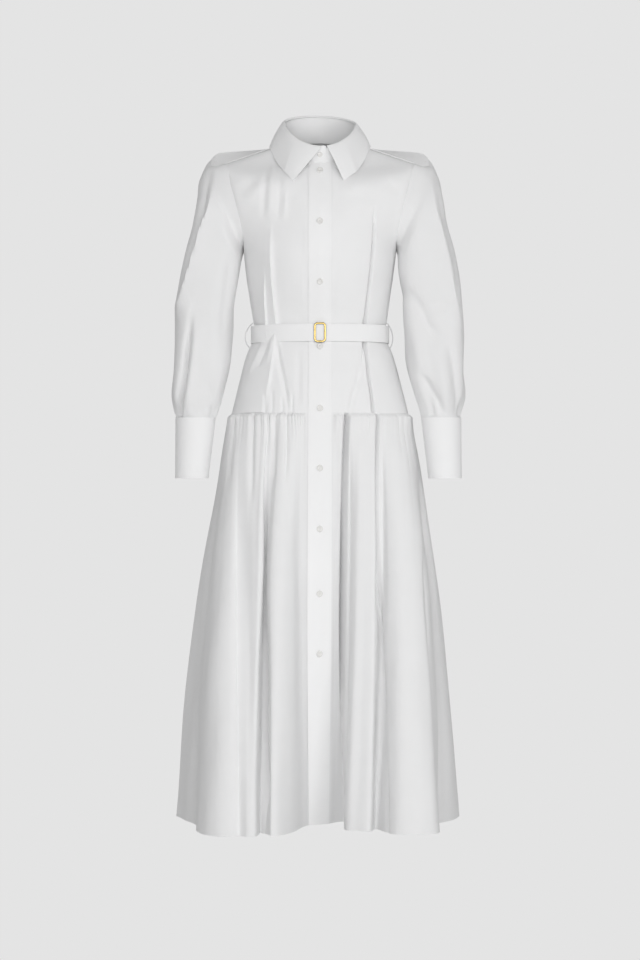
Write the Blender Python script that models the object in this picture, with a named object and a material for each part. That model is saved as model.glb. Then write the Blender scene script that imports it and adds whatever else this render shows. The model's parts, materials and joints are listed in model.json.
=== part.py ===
"""A long-sleeved shirt dress, hollow and filled out as if worn, with nobody in it.

It stands in its own frame: +Z is up, the front faces -Y, and the wearer's left is +X. The origin is the
middle of the neck opening, level with the shoulders. Every cloth piece is a thin closed wall. A piece is
first an outer sheet of points, whose columns run anticlockwise seen from above and whose rows run upwards,
so that its normals point out of the dress. Its wall is then grown inwards from that sheet.
"""

import math
from collections import namedtuple

import bmesh
import bpy
import numpy as np
from mathutils import Matrix, Vector

# Cloth, in metres.
CLOTH = 0.0012  # one layer of shirting with its seam turned
FIRM_CLOTH = 0.0015  # two layers with interfacing: stand, cuffs, shoulder tabs
BELT_CLOTH = 0.0018
GAP = 0.0003  # between two pieces that are sewn together or lie on each other

# Lengths down from the origin, and the main widths.
NECK_HALF_WIDTH = 0.067
NECK_SIDE = (0.001, 0.009)  # y and z of the neckline at the high point of the shoulder
NECK_FRONT = (-0.080, -0.030)
NECK_BACK = (0.062, 0.030)
SHOULDER_TIP = (0.185, 0.003, -0.0235)
UNDERARM = (0.143, 0.000, -0.190)
ARMHOLE_FRONT_DEPTH = 0.064
ARMHOLE_BACK_DEPTH = 0.070
ARMHOLE_INSET = 0.008  # how far the armhole scoops in towards the chest
HIP_SEAM_Z = -0.496
HEM_Z = -1.252
WAIST_Z = -0.348
BELT_WIDTH = 0.032

# The button band.
BAND_HALF_WIDTH = 0.0210
BAND_BED_HALF_WIDTH = 0.0225  # the plain stretch of front that the band lies on
FRONTS_MEET = 0.0175  # the two fronts meet under the band, this far to the wearer's right
BUTTON_RADIUS = 0.0057
SMALL_BUTTON_RADIUS = 0.0048
BUTTON_THICK = 0.0026
BUTTON_SEGMENTS = 12

Section = namedtuple("Section", "name z half_width front_depth back_depth")
BODY_SECTIONS = [
    Section("hip seam", HIP_SEAM_Z, 0.166, 0.128, 0.130),
    Section("high hip", -0.432, 0.150, 0.117, 0.116),
    Section("below the belt", -0.384, 0.136, 0.104, 0.097),
    Section("waist", WAIST_Z, 0.121, 0.097, 0.086),
    Section("above the belt", -0.318, 0.126, 0.100, 0.089),
    Section("ribs", -0.282, 0.131, 0.110, 0.096),
    Section("under the bust", -0.240, 0.137, 0.122, 0.104),
    Section("underarm", UNDERARM[2], UNDERARM[0], 0.130, 0.111),
]

# Sections above the underarm run from the middle of the front or back to a point on the armhole.
Chest = namedtuple("Chest", "armhole_angle knot front_y front_z back_y back_z")
CHEST_SECTIONS = [
    Chest(135.0, -0.150, -0.1285, -0.150, 0.114, -0.143),
    Chest(90.0, -0.105, -0.1150, -0.102, 0.110, -0.085),
    Chest(45.0, -0.060, -0.0970, -0.062, 0.093, -0.022),
]
TOP_KNOT = -0.015
SECTION_FLATNESS = 0.80  # below 1 the torso's section is fuller than an ellipse

# A sleeve ring is set by its outer and inner point, its middle in y and its half depth.
Ring = namedtuple("Ring", "knot outer_x outer_z inner_x inner_z middle_y half_depth")
SLEEVE_RINGS = [
    Ring(0.000, 0.2695, -0.504, 0.1945, -0.504, -0.041, 0.0375),
    Ring(0.012, 0.2740, -0.492, 0.1900, -0.492, -0.040, 0.0440),
    Ring(0.042, 0.2785, -0.464, 0.1810, -0.466, -0.036, 0.0530),
    Ring(0.090, 0.2745, -0.415, 0.1705, -0.417, -0.028, 0.0590),
    Ring(0.160, 0.2725, -0.340, 0.1650, -0.352, -0.018, 0.0640),
    Ring(0.235, 0.2665, -0.258, 0.1610, -0.292, -0.010, 0.0670),
    Ring(0.290, 0.2510, -0.190, 0.1545, -0.246, -0.004, 0.0690),
    Ring(0.335, 0.2385, -0.138, 0.1505, -0.220, 0.000, 0.0710),
    Ring(0.378, 0.2295, -0.090, 0.1480, -0.205, 0.002, 0.0720),
    Ring(0.413, 0.2230, -0.054, 0.1455, -0.196, 0.003, 0.0710),
    Ring(0.436, 0.2100, -0.034, 0.1440, -0.192, 0.003, 0.0690),
]
SLEEVE_TOP_KNOT = 0.460
LEFT_SLEEVE_SWING = 0.006  # the left sleeve hangs this much closer to the skirt than the right one
SWING_DEPTH = 0.220  # length of sleeve over which it swings in
CUFF_TOP = SLEEVE_RINGS[0]
CUFF_HEM = Ring(-0.113, 0.2695, -0.617, 0.2075, -0.617, -0.055, 0.0315)
CUFF_OPENS_AT = 60.0  # degrees from the outer side towards the back
CUFF_OVERLAP = 28.0
CUFF_BUTTON_HEIGHTS = (0.25, 0.72)  # shares of the cuff's height

# The collar. Angles run from the middle of the front (0) to the middle of the back (180).
STAND_TOP = {"half_width": 0.0655, "front": (-0.0815, -0.0075), "side": (0.000, 0.043), "back": (0.060, 0.063)}
STAND_OVERLAP = 0.011
STAND_FOOT_SHARE = 0.06  # how far up its height the stand starts, clear of the neckline seam
LeafEdge = namedtuple("LeafEdge", "angle x y z")
LEAF_EDGE = [
    LeafEdge(38.0, 0.0680, -0.0900, -0.0430),
    LeafEdge(65.0, 0.0865, -0.0500, -0.0120),
    LeafEdge(90.0, 0.0960, -0.0030, 0.0080),
    LeafEdge(125.0, 0.0860, 0.0570, 0.0110),
    LeafEdge(155.0, 0.0480, 0.0860, 0.0140),
    LeafEdge(180.0, 0.0000, 0.0960, 0.0160),
]
LEAF_POINT_LEFT = (0.0440, -0.1150, -0.0670)  # the wearer's left, +X
LEAF_POINT_RIGHT = (-0.0500, -0.1150, -0.0675)
LEAF_START_X = 0.0125  # where the wearer's left leaf starts on the fold
LEAF_END_X = 0.0030
LEAF_FOLD_RISE = 0.0075
LEAF_FOLD_WIDTH = 0.0045
LEAF_BOW = 0.0025

# The skirt's folds: where each point of its hem comes from on the hip seam, as the angle round from the
# middle of the front (positive to the wearer's left), and where it hangs at the hem.
Fold = namedtuple("Fold", "seam_angle hem_x hem_y")
SKIRT_FRONT_LEFT = [
    Fold(14.5, 0.0300, -0.0940),  # deep fold beside the band, tucked under the next one
    Fold(18.5, 0.0465, -0.0980),
    Fold(22.0, 0.0435, -0.1550),
    Fold(26.0, 0.0470, -0.2020),
    Fold(31.0, 0.0670, -0.2140),
    Fold(35.5, 0.0890, -0.2200),
    Fold(39.0, 0.0955, -0.1900),
    Fold(42.5, 0.1050, -0.1900),
    Fold(46.5, 0.1170, -0.2320),
    Fold(52.5, 0.1350, -0.2600),
    Fold(59.0, 0.1590, -0.2680),
    Fold(65.5, 0.1880, -0.2630),
    Fold(71.5, 0.2090, -0.2430),
    Fold(76.5, 0.2170, -0.1850),
    Fold(81.0, 0.2200, -0.1100),
    Fold(85.5, 0.2470, -0.0600),
    Fold(90.0, 0.2605, 0.0000),
]
SKIRT_FRONT_RIGHT = [
    Fold(-12.5, -0.0350, -0.1950),  # the fold on the other side of the band
    Fold(-16.5, -0.0480, -0.2800),
    Fold(-21.5, -0.0720, -0.2980),
    Fold(-26.5, -0.0935, -0.2820),
    Fold(-29.5, -0.1015, -0.2480),
    Fold(-32.5, -0.1080, -0.2440),
    Fold(-37.0, -0.1135, -0.2860),
    Fold(-47.0, -0.1280, -0.2920),
    Fold(-57.0, -0.1430, -0.2800),
    Fold(-63.0, -0.1600, -0.2900),
    Fold(-69.0, -0.1860, -0.2840),
    Fold(-75.0, -0.2080, -0.2580),
    Fold(-79.0, -0.2220, -0.2000),
    Fold(-82.0, -0.2280, -0.1300),
    Fold(-86.0, -0.2500, -0.0620),
    Fold(-90.0, -0.2710, 0.0000),
]
SKIRT_BACK = [
    Fold(99.0, 0.2590, 0.0550),
    Fold(107.0, 0.2350, 0.0950),
    Fold(114.0, 0.2160, 0.1250),
    Fold(121.0, 0.2180, 0.1850),
    Fold(128.0, 0.1880, 0.2350),
    Fold(135.0, 0.1500, 0.2480),
    Fold(142.0, 0.1230, 0.2150),
    Fold(149.0, 0.1060, 0.1850),
    Fold(156.0, 0.0900, 0.2250),
    Fold(163.0, 0.0640, 0.2750),
    Fold(171.0, 0.0300, 0.2850),
    Fold(178.0, 0.0060, 0.2450),
    Fold(185.0, -0.0100, 0.2150),
    Fold(192.0, -0.0320, 0.2550),
    Fold(200.0, -0.0640, 0.2850),
    Fold(208.0, -0.0980, 0.2750),
    Fold(215.0, -0.1200, 0.2350),
    Fold(222.0, -0.1340, 0.2000),
    Fold(229.0, -0.1600, 0.2250),
    Fold(237.0, -0.1980, 0.2220),
    Fold(245.0, -0.2200, 0.1700),
    Fold(253.0, -0.2230, 0.1150),
    Fold(262.0, -0.2560, 0.0600),
]
BAND_HEM = ((-0.0225, -0.1340), (0.0165, -0.1080))  # the band's bed at the hem, right edge then left edge
SKIRT_ROWS = 6
BELLY = 0.012  # how far the skirt's profile swells between hip and hem

# The belt and its buckle.
BELT_TAIL_ANGLE = 68.0
BUCKLE_HALF_WIDTH = 0.0110
BUCKLE_HALF_HEIGHT = 0.0190
BUCKLE_WIRE = 0.0022
BUCKLE_BAR = 0.0018
LOOP_WIDTH = 0.005
LOOP_REACH = 0.013
LOOP_TOP_Z = -0.325
LOOP_FOOT_Z = -0.372

# Shoulder tabs: sections along the shoulder, from the collar outwards.
Tab = namedtuple("Tab", "x front_y front_z back_y back_z")
TAB_SECTIONS = [
    Tab(0.0800, -0.0140, 0.0060, 0.0190, 0.0098),
    Tab(0.1000, -0.0165, -0.0004, 0.0195, 0.0050),
    Tab(0.1220, -0.0185, -0.0078, 0.0190, 0.0003),
    Tab(0.1500, -0.0225, -0.0180, 0.0160, -0.0045),
    Tab(0.1750, -0.0265, -0.0270, 0.0120, -0.0090),
    Tab(0.1950, -0.0290, -0.0345, 0.0090, -0.0140),
    Tab(0.2040, -0.0190, -0.0330, 0.0010, -0.0210),
]

# Heights of the buttons on the band. One more lies on the collar stand's overlap.
BUTTON_HEIGHTS = (-0.0485, -0.1455, -0.2550, -0.3735, -0.4885, -0.5980, -0.7095, -0.8280, -0.9380)

COLOURS = {
    "cotton": ((0.88, 0.88, 0.88, 1.0), 0.85, 0.0),
    "button": ((0.90, 0.89, 0.87, 1.0), 0.25, 0.0),
    "brass": ((0.80, 0.58, 0.25, 1.0), 0.25, 1.0),
}


def clear_scene():
    for thing in list(bpy.data.objects):
        bpy.data.objects.remove(thing)


def material(name):
    found = bpy.data.materials.get(name)
    if found:
        return found
    colour, roughness, metallic = COLOURS[name]
    made = bpy.data.materials.new(name)
    made.use_nodes = True
    shader = made.node_tree.nodes["Principled BSDF"]
    shader.inputs["Base Color"].default_value = colour
    shader.inputs["Roughness"].default_value = roughness
    shader.inputs["Metallic"].default_value = metallic
    made.diffuse_color = colour
    return made


def add_object(name, mesh_data, finish):
    shown = bpy.data.objects.new(name, mesh_data)
    mesh_data.materials.append(material(finish))
    bpy.context.scene.collection.objects.link(shown)
    return shown


# ---------------------------------------------------------------- curves and sheets


def through(knots, points, at):
    """A smooth curve through points at rising knots, read at the given knots."""
    knots = np.asarray(knots, float)
    points = np.asarray(points, float)
    steps = np.diff(knots)
    slopes = np.diff(points, axis=0) / steps.reshape(-1, *[1] * (points.ndim - 1))
    tangents = np.empty_like(points)
    tangents[0], tangents[-1] = slopes[0], slopes[-1]
    for i in range(1, len(knots) - 1):
        before, after = steps[i - 1], steps[i]
        tangents[i] = (slopes[i - 1] * after + slopes[i] * before) / (before + after)
    out = []
    for value in at:
        i = int(np.clip(np.searchsorted(knots, value, side="right") - 1, 0, len(steps) - 1))
        t = (value - knots[i]) / steps[i]
        out.append(
            (2 * t**3 - 3 * t**2 + 1) * points[i]
            + (t**3 - 2 * t**2 + t) * steps[i] * tangents[i]
            + (-2 * t**3 + 3 * t**2) * points[i + 1]
            + (t**3 - t**2) * steps[i] * tangents[i + 1]
        )
    return np.array(out)


def mirrored(grid):
    """The same sheet on the other side of the dress, its columns still anticlockwise."""
    flipped = grid[:, ::-1].copy()
    flipped[..., 0] *= -1
    if grid.shape[-1] == 6:
        flipped[..., 3] *= -1
    return flipped


def spot(point):
    return tuple(np.round(point, 5) + 0.0)


def with_normals(grids, rings=()):
    """Each grid with its normals beside its points. Grids that share an edge share its normals.

    The numbers in rings say which grids close on themselves."""
    sums = {}
    for number, grid in enumerate(grids):
        whole = np.concatenate([grid, grid[:, :1]], axis=1) if number in rings else grid
        across = whole[1:, 1:] - whole[:-1, :-1]
        along = whole[1:, :-1] - whole[:-1, 1:]
        faces = np.cross(across, along)
        for i in range(faces.shape[0]):
            for j in range(faces.shape[1]):
                for corner in (whole[i, j], whole[i, j + 1], whole[i + 1, j], whole[i + 1, j + 1]):
                    key = spot(corner)
                    sums[key] = sums.get(key, 0) + faces[i, j]
    made = []
    for grid in grids:
        normals = np.array([[sums[spot(p)] for p in row] for row in grid])
        normals /= np.linalg.norm(normals, axis=2, keepdims=True)
        made.append(np.concatenate([grid, normals], axis=2))
    return made


def lifted(sheet, distance):
    """The same sheet moved out along its normals."""
    moved = sheet.copy()
    moved[..., :3] += moved[..., 3:] * distance
    return moved


def levelled(sheet, row):
    """Turns one row's normals level, so that the wall ends flat where it meets a level seam."""
    flat = sheet[row, :, 3:]
    flat[:, 2] = 0
    flat /= np.linalg.norm(flat, axis=1, keepdims=True)
    return sheet


def between(first, second, share):
    return first + (second - first) * share


def pulled_in(grid, edges, distance):
    """Moves the named borders inwards along the sheet by half a seam's gap."""
    grid = grid.copy()
    borders = {
        "bottom": ((0, slice(None)), (1, slice(None))),
        "top": ((-1, slice(None)), (-2, slice(None))),
        "start": ((slice(None), 0), (slice(None), 1)),
        "end": ((slice(None), -1), (slice(None), -2)),
    }
    for edge in edges:
        border, inner = borders[edge]
        step = grid[inner] - grid[border]
        grid[border] += step / np.linalg.norm(step, axis=1, keepdims=True) * distance
    return grid


def wall(name, sheet, thickness, edges=(), ring=False, finish="cotton", distance=GAP / 2):
    """A closed wall grown inwards from a sheet, with the borders named in edges drawn back for their seams."""
    outer = pulled_in(sheet[..., :3], edges, distance)
    inner = pulled_in(sheet[..., :3] - sheet[..., 3:] * thickness, edges, distance)
    rows, columns = outer.shape[:2]
    mesh = bmesh.new()
    front = [[mesh.verts.new(p) for p in row] for row in outer]
    back = [[mesh.verts.new(p) for p in row] for row in inner]
    last = columns if ring else columns - 1
    for i in range(rows - 1):
        for j in range(last):
            k = (j + 1) % columns
            mesh.faces.new((front[i][j], front[i][k], front[i + 1][k], front[i + 1][j]))
            mesh.faces.new((back[i][j], back[i + 1][j], back[i + 1][k], back[i][k]))
    for j in range(last):
        k = (j + 1) % columns
        mesh.faces.new((front[0][j], back[0][j], back[0][k], front[0][k]))
        mesh.faces.new((front[-1][j], front[-1][k], back[-1][k], back[-1][j]))
    if not ring:
        for i in range(rows - 1):
            mesh.faces.new((front[i][0], front[i + 1][0], back[i + 1][0], back[i][0]))
            mesh.faces.new((front[i][-1], back[i][-1], back[i + 1][-1], front[i + 1][-1]))
    data = bpy.data.meshes.new(name)
    mesh.to_mesh(data)
    mesh.free()
    data.shade_smooth()
    data.set_sharp_from_angle(angle=math.radians(50))
    return add_object(name, data, finish)


# ---------------------------------------------------------------- the bodice


def armhole_point(angle, side):
    """A point of the armhole: 0 degrees at the shoulder tip and 180 at the underarm."""
    turn = math.radians(angle)
    tip, low = np.array(SHOULDER_TIP), np.array(UNDERARM)
    middle, arm = (tip + low) / 2, (tip - low) / 2
    depth = -ARMHOLE_FRONT_DEPTH if side == "front" else ARMHOLE_BACK_DEPTH
    scoop = np.array([-ARMHOLE_INSET, depth, 0.0])
    return middle + arm * math.cos(turn) + scoop * math.sin(turn)


def section_table(side):
    """(knot, middle y, middle z, edge point) of each section of the front or the back, up to the armhole's top."""
    sign = -1 if side == "front" else 1
    table = []
    for section in BODY_SECTIONS:
        depth = section.front_depth if side == "front" else section.back_depth
        edge = np.array([section.half_width, 0.0, section.z])
        table.append((section.z, sign * depth, section.z, edge))
    for chest in CHEST_SECTIONS:
        middle = (chest.front_y, chest.front_z) if side == "front" else (chest.back_y, chest.back_z)
        table.append((chest.knot, *middle, armhole_point(chest.armhole_angle, side)))
    return table


def section_point(middle_y, middle_z, edge, turn):
    """A point of one section, turn radians round from its middle towards its edge."""
    near = max(math.cos(turn), 0.0)
    return np.array(
        [
            edge[0] * math.sin(turn),
            edge[1] + (middle_y - edge[1]) * near**SECTION_FLATNESS,
            edge[2] + (middle_z - edge[2]) * near**2,
        ]
    )


def first_turn(half_width):
    """The turn at which a section is as wide as the band's bed."""
    return math.asin(BAND_BED_HALF_WIDTH / half_width)


def share_turn(half_width, share):
    start = first_turn(half_width)
    return start + (math.pi / 2 - start) * share


# The share of a column whose top lands on the high point of the shoulder.
TIP_START = first_turn(SHOULDER_TIP[0])
NECK_SHARE = (math.asin(NECK_HALF_WIDTH / SHOULDER_TIP[0]) - TIP_START) / (math.pi / 2 - TIP_START)


def neckline_point(turn, side):
    """A point of the neckline: turn 0 at the middle of the front or back, a quarter turn at the shoulder."""
    middle = NECK_FRONT if side == "front" else NECK_BACK
    near = max(math.cos(turn), 0.0)
    return np.array(
        [
            NECK_HALF_WIDTH * math.sin(turn),
            NECK_SIDE[0] + (middle[0] - NECK_SIDE[0]) * near,
            NECK_SIDE[1] + (middle[1] - NECK_SIDE[1]) * near**1.2,
        ]
    )


def top_point(share, side):
    """A point of the top border: along the neckline, then along the shoulder seam to its tip."""
    if share <= NECK_SHARE:
        start = first_turn(NECK_HALF_WIDTH)
        return neckline_point(start + (math.pi / 2 - start) * share / NECK_SHARE, side)
    x = SHOULDER_TIP[0] * math.sin(share_turn(SHOULDER_TIP[0], share))
    along = (x - NECK_HALF_WIDTH) / (SHOULDER_TIP[0] - NECK_HALF_WIDTH)
    y = NECK_SIDE[0] + (SHOULDER_TIP[1] - NECK_SIDE[0]) * along
    z = NECK_SIDE[1] + (SHOULDER_TIP[2] - NECK_SIDE[1]) * along
    return np.array([x, y, z])


def half_bodice(side, shares, knots):
    """Half of the front or back with x at or above 0. Its first column is the middle line."""
    table = section_table(side)
    columns = []
    for share in [None, *shares]:
        points = []
        for _, middle_y, middle_z, edge in table:
            turn = 0.0 if share is None else share_turn(edge[0], share)
            points.append(section_point(middle_y, middle_z, edge, turn))
        points.append(neckline_point(0.0, side) if share is None else top_point(share, side))
        marks = [row[0] for row in table] + [TOP_KNOT]
        column = through(marks, points, knots)
        if share == 1:  # the side seam, which the front and the back have in common
            lower = len(BODY_SECTIONS)
            below = [k for k in knots if k < UNDERARM[2]]
            column[: len(below)] = through(marks[:lower], points[:lower], below)
        columns.append(column)
    return np.array(columns).transpose(1, 0, 2)


def bodice_shares(neck_columns, shoulder_columns):
    neck = np.linspace(0, NECK_SHARE, neck_columns)
    shoulder = np.linspace(NECK_SHARE, 1, shoulder_columns + 1)[1:]
    return [*neck, *shoulder]


LOWER_KNOTS = [
    HIP_SEAM_Z,
    -0.446,
    -0.400,
    WAIST_Z - BELT_WIDTH / 2,
    WAIST_Z + BELT_WIDTH / 2,
    -0.300,
    -0.263,
    -0.226,
]
ARMHOLE_STEPS = 8
SLEEVE_KNOTS = [0, 0.020, 0.045, 0.090, 0.150, 0.210, 0.270, 0.330, 0.378, 0.413, 0.437, SLEEVE_TOP_KNOT]


def upper_knots():
    """From the underarm to the top, in equal steps round the armhole."""
    marks = [UNDERARM[2], *[chest.knot for chest in CHEST_SECTIONS], TOP_KNOT]
    return list(np.interp(np.linspace(0, len(marks) - 1, ARMHOLE_STEPS + 1), range(len(marks)), marks))


# ---------------------------------------------------------------- sleeves and cuffs


def ring_point(ring, angle, swing=0.0):
    """A point of a sleeve ring: 0 degrees on its outer side, 90 at the back."""
    turn = math.radians(angle)
    nearer = swing * min(max((UNDERARM[2] - ring.outer_z) / SWING_DEPTH, 0.0), 1.0)
    outer = np.array([ring.outer_x - nearer, ring.middle_y, ring.outer_z])
    inner = np.array([ring.inner_x - nearer, ring.middle_y, ring.inner_z])
    depth = np.array([0.0, ring.half_depth, 0.0])
    return (outer + inner) / 2 + (outer - inner) / 2 * math.cos(turn) + depth * math.sin(turn)


def sleeve_grid(front_edge, back_edge, knots, swing):
    """A sleeve on the left side, from the cuff seam up to the armhole. Both edges run up from the underarm."""
    armhole = [*back_edge[::-1], *front_edge[1:-1]]
    angles = np.arange(len(armhole)) * 360.0 / len(armhole)
    rings = [[ring_point(ring, angle, swing) for angle in angles] for ring in SLEEVE_RINGS]
    return through([r.knot for r in SLEEVE_RINGS] + [SLEEVE_TOP_KNOT], [*rings, armhole], knots)


def cuff_sheet(swing):
    """A cuff on the left side: a band that starts at its opening and laps over itself there."""
    angles = CUFF_OPENS_AT + np.arange(0, 360.0 + CUFF_OVERLAP + 1, (360.0 + CUFF_OVERLAP) / 20)
    grid = np.array([[ring_point(ring, a, swing) for a in angles] for ring in (CUFF_HEM, CUFF_TOP)])
    sheet = with_normals([grid])[0]
    rise = np.clip((angles - CUFF_OPENS_AT - 360.0 + 24.0) / 24.0, 0, 1) * (FIRM_CLOTH + GAP + 0.0002)
    for row in sheet:
        middle = row[:-2, :3].mean(axis=0)
        row[:, 3:] = row[:, :3] - middle
        row[:, 5] = 0
        row[:, 3:] /= np.linalg.norm(row[:, 3:], axis=1, keepdims=True)
        row[:, :3] += row[:, 3:] * rise[:, None]
    return sheet


# ---------------------------------------------------------------- the collar


def stand_top_point(angle):
    """The top of the stand, 0 degrees at the middle of the front and 180 at the back, on the wearer's left."""
    turn = math.radians(angle)
    near = math.cos(turn)
    end = STAND_TOP["front"] if near > 0 else STAND_TOP["back"]
    side = STAND_TOP["side"]
    y = side[0] + (end[0] - side[0]) * abs(near)
    z = side[1] + (end[1] - side[1]) * abs(near) ** 1.2
    return np.array([STAND_TOP["half_width"] * math.sin(turn), y, z])


def stand_sheet(neck_columns):
    """The collar stand, from its under end at the middle of the front right round to its over end."""
    half = [0.0, *np.degrees(np.linspace(first_turn(NECK_HALF_WIDTH), math.pi / 2, neck_columns))]
    angles = [*half, *[180 - a for a in half[-2::-1]]]
    angles = [*angles, *[360 - a for a in angles[-2::-1]]]
    foot = []
    for angle in angles:
        side = "front" if math.cos(math.radians(angle)) > 0 else "back"
        turn = math.asin(min(1.0, abs(math.sin(math.radians(angle)))))
        point = neckline_point(turn, side)
        foot.append(point * (1 if angle <= 180 else -1, 1, 1))
    top = [stand_top_point(min(a, 360 - a)) * (1 if a <= 180 else -1, 1, 1) for a in angles]
    grid = np.array([foot, top])
    grid[0] += (grid[1] - grid[0]) * STAND_FOOT_SHARE
    sheet = with_normals([grid])[0]
    under, over = sheet[:, :1].copy(), sheet[:, -1:].copy()
    for end, x in ((under, -STAND_OVERLAP), (over, STAND_OVERLAP)):
        end[..., 0] = x
        end[..., 3:5] = (0, -1)
        end[..., 5] = 0
    sheet = np.concatenate([under, sheet, over], axis=1)
    sheet[:, 0, :3] -= sheet[:, 0, 3:] * (FIRM_CLOTH + GAP + 0.0003)
    sheet[:, 1, :3] -= sheet[:, 1, 3:] * (FIRM_CLOTH + GAP + 0.0003)
    sheet[:, 2, :3] -= sheet[:, 2, 3:] * (FIRM_CLOTH + GAP + 0.0003) * 0.9
    return sheet


def leaf_edge(angle):
    """The leaf's outer edge between its two points, for angles from 38 to 322 degrees."""
    near = min(angle, 360 - angle)
    point = through([e.angle for e in LEAF_EDGE], [e[1:] for e in LEAF_EDGE], [near])[0]
    return point * (1 if angle <= 180 else -1, 1, 1)


def leaf_sheet(columns):
    """The collar's leaf. Its rows run from the outer edge up over the fold and down to the stand's top."""
    width = STAND_TOP["half_width"]
    start = math.degrees(math.asin(LEAF_START_X / width))
    end = 360 + math.degrees(math.asin(LEAF_END_X / width))
    made = []
    for share in np.linspace(0, 1, columns):
        angle = start + (end - start) * share
        top = stand_top_point(min(angle % 360, 360 - angle % 360))
        top[0] *= 1 if angle % 360 <= 180 else -1
        out = np.array([math.sin(math.radians(angle)), -math.cos(math.radians(angle)), 0.0])
        edge = leaf_edge_or_point(angle, start, end)
        up = np.array([0.0, 0.0, 1.0])
        shoulder = top + up * LEAF_FOLD_RISE * 0.6 + out * LEAF_FOLD_WIDTH
        fall = [shoulder + (edge - shoulder) * s + out * LEAF_BOW * math.sin(math.pi * s) for s in (1, 0.72, 0.4)]
        apex = top + up * LEAF_FOLD_RISE + out * LEAF_FOLD_WIDTH * 0.45
        inside = top + up * LEAF_FOLD_RISE * 0.55
        made.append([*fall, shoulder, apex, inside, top + up * GAP * 2.5])
    return with_normals([np.array(made).transpose(1, 0, 2)])[0]


def leaf_edge_or_point(angle, start, end):
    """Between a collar point and the side, the outer edge is straight."""
    first = LEAF_EDGE[0].angle
    if angle < first:
        return between(np.array(LEAF_POINT_LEFT), leaf_edge(first), (angle - start) / (first - start))
    if angle > 360 - first:
        return between(leaf_edge(360 - first), np.array(LEAF_POINT_RIGHT), (angle - 360 + first) / (end - 360 + first))
    return leaf_edge(angle)


# ---------------------------------------------------------------- the skirt


def seam_point(angle):
    """A point of the hip seam, round from the middle of the front."""
    hip = BODY_SECTIONS[0]
    turn = math.radians(angle)
    near = math.cos(turn)
    depth = -hip.front_depth if near > 0 else hip.back_depth
    return np.array([hip.half_width * math.sin(turn), depth * abs(near) ** SECTION_FLATNESS, hip.z])


def smooth_folds(folds, ends):
    """(seam point, hem point) pairs along a smooth line through the folds, two for each fold."""
    rows = [(*seam_point(f.seam_angle), f.hem_x, f.hem_y, HEM_Z) for f in folds]
    rows = np.array([ends[0], *rows] if ends[0] is not None else rows)
    if ends[1] is not None:
        rows = np.concatenate([rows, [ends[1]]])
    knots = np.arange(len(rows), dtype=float)
    return through(knots, rows, np.arange(0, len(rows) - 0.75, 0.5))


def skirt_rows(pairs):
    """The skirt's sheet between its seam and its hem, rows running up."""
    shares = 1 - np.linspace(0, 1, SKIRT_ROWS)
    pairs = np.asarray(pairs)
    grid = np.array([between(pairs[:, :3], pairs[:, 3:], s) for s in shares])
    swell = np.sin(np.pi * shares) * BELLY
    out = grid[..., :2] / np.linalg.norm(grid[..., :2], axis=2, keepdims=True)
    grid[..., :2] += out * swell[:, None, None]
    return grid


def bed_pairs():
    """Seam and hem of the band's bed: its right edge, its middle and its left edge."""
    hip = BODY_SECTIONS[0]
    turn = first_turn(hip.half_width)
    left = section_point(-hip.front_depth, hip.z, np.array([hip.half_width, 0, hip.z]), turn)
    middle = np.array([0.0, -hip.front_depth, hip.z])
    right = left * (-1, 1, 1)
    hem_right, hem_left = (np.array([*p, HEM_Z]) for p in BAND_HEM)
    hems = (hem_right, (hem_right + hem_left) / 2, hem_left)
    return [np.concatenate(pair) for pair in zip((right, middle, left), hems)]


def skirt_sheets():
    """The skirt's whole ring, anticlockwise from the middle of the front, and where its side seams are."""
    right_bed, middle_bed, left_bed = bed_pairs()
    front_left = smooth_folds(SKIRT_FRONT_LEFT, (left_bed, None))
    back = smooth_folds(SKIRT_BACK, (front_left[-1], None))
    right_start = smooth_folds([SKIRT_FRONT_RIGHT[-1]] * 2, (None, None))[0]
    back = np.concatenate([back, [between(back[-1], right_start, 0.5)]])
    front_right = smooth_folds(SKIRT_FRONT_RIGHT[::-1], (None, right_bed))
    ring = np.concatenate([[middle_bed], front_left, back[1:], front_right])
    sheet = with_normals([skirt_rows(ring)], rings=(0,))[0]
    levelled(sheet, -1)
    levelled(sheet, 0)
    left_seam = len(front_left)
    right_seam = left_seam + len(back)
    return sheet, left_seam, right_seam


# ---------------------------------------------------------------- band, belt and small pieces


def lapped_fronts(middle, right_bed, own_left, own_right):
    """The two fronts' sheets, lapped under the band. Arguments are columns or sheets with normals.

    own_left runs from the left edge of the bed to the side, own_right from the side to the right edge."""
    share = FRONTS_MEET / BAND_BED_HALF_WIDTH
    nudge = GAP / BAND_BED_HALF_WIDTH
    under = between(middle, right_bed, share - nudge)[:, None]
    over = between(middle, right_bed, share + nudge)[:, None]
    left = np.concatenate([under, middle[:, None], own_left], axis=1)
    right = np.concatenate([own_right, over], axis=1)
    return left, right


def band_sheet(right_bed, middle, left_bed, gap):
    """The button band on its bed, moved out by its own thickness and a gap."""
    share = BAND_HALF_WIDTH / BAND_BED_HALF_WIDTH
    columns = [between(middle, right_bed, share), middle, between(middle, left_bed, share)]
    sheet = with_normals([np.stack(columns, axis=1)[..., :3]])[0]
    return lifted(sheet, CLOTH + gap)


def torso_ring_point(turn_degrees, z):
    """A point of the torso below the underarm, anticlockwise from the middle of the front."""
    turn = math.radians(turn_degrees % 360)
    knots = [s.z for s in BODY_SECTIONS]
    values = [(s.half_width, s.front_depth, s.back_depth) for s in BODY_SECTIONS]
    half_width, front, back = through(knots, values, [z])[0]
    near = math.cos(turn)
    depth = -front if near > 0 else back
    return np.array([half_width * math.sin(turn), depth * abs(near) ** SECTION_FLATNESS, z])


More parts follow.
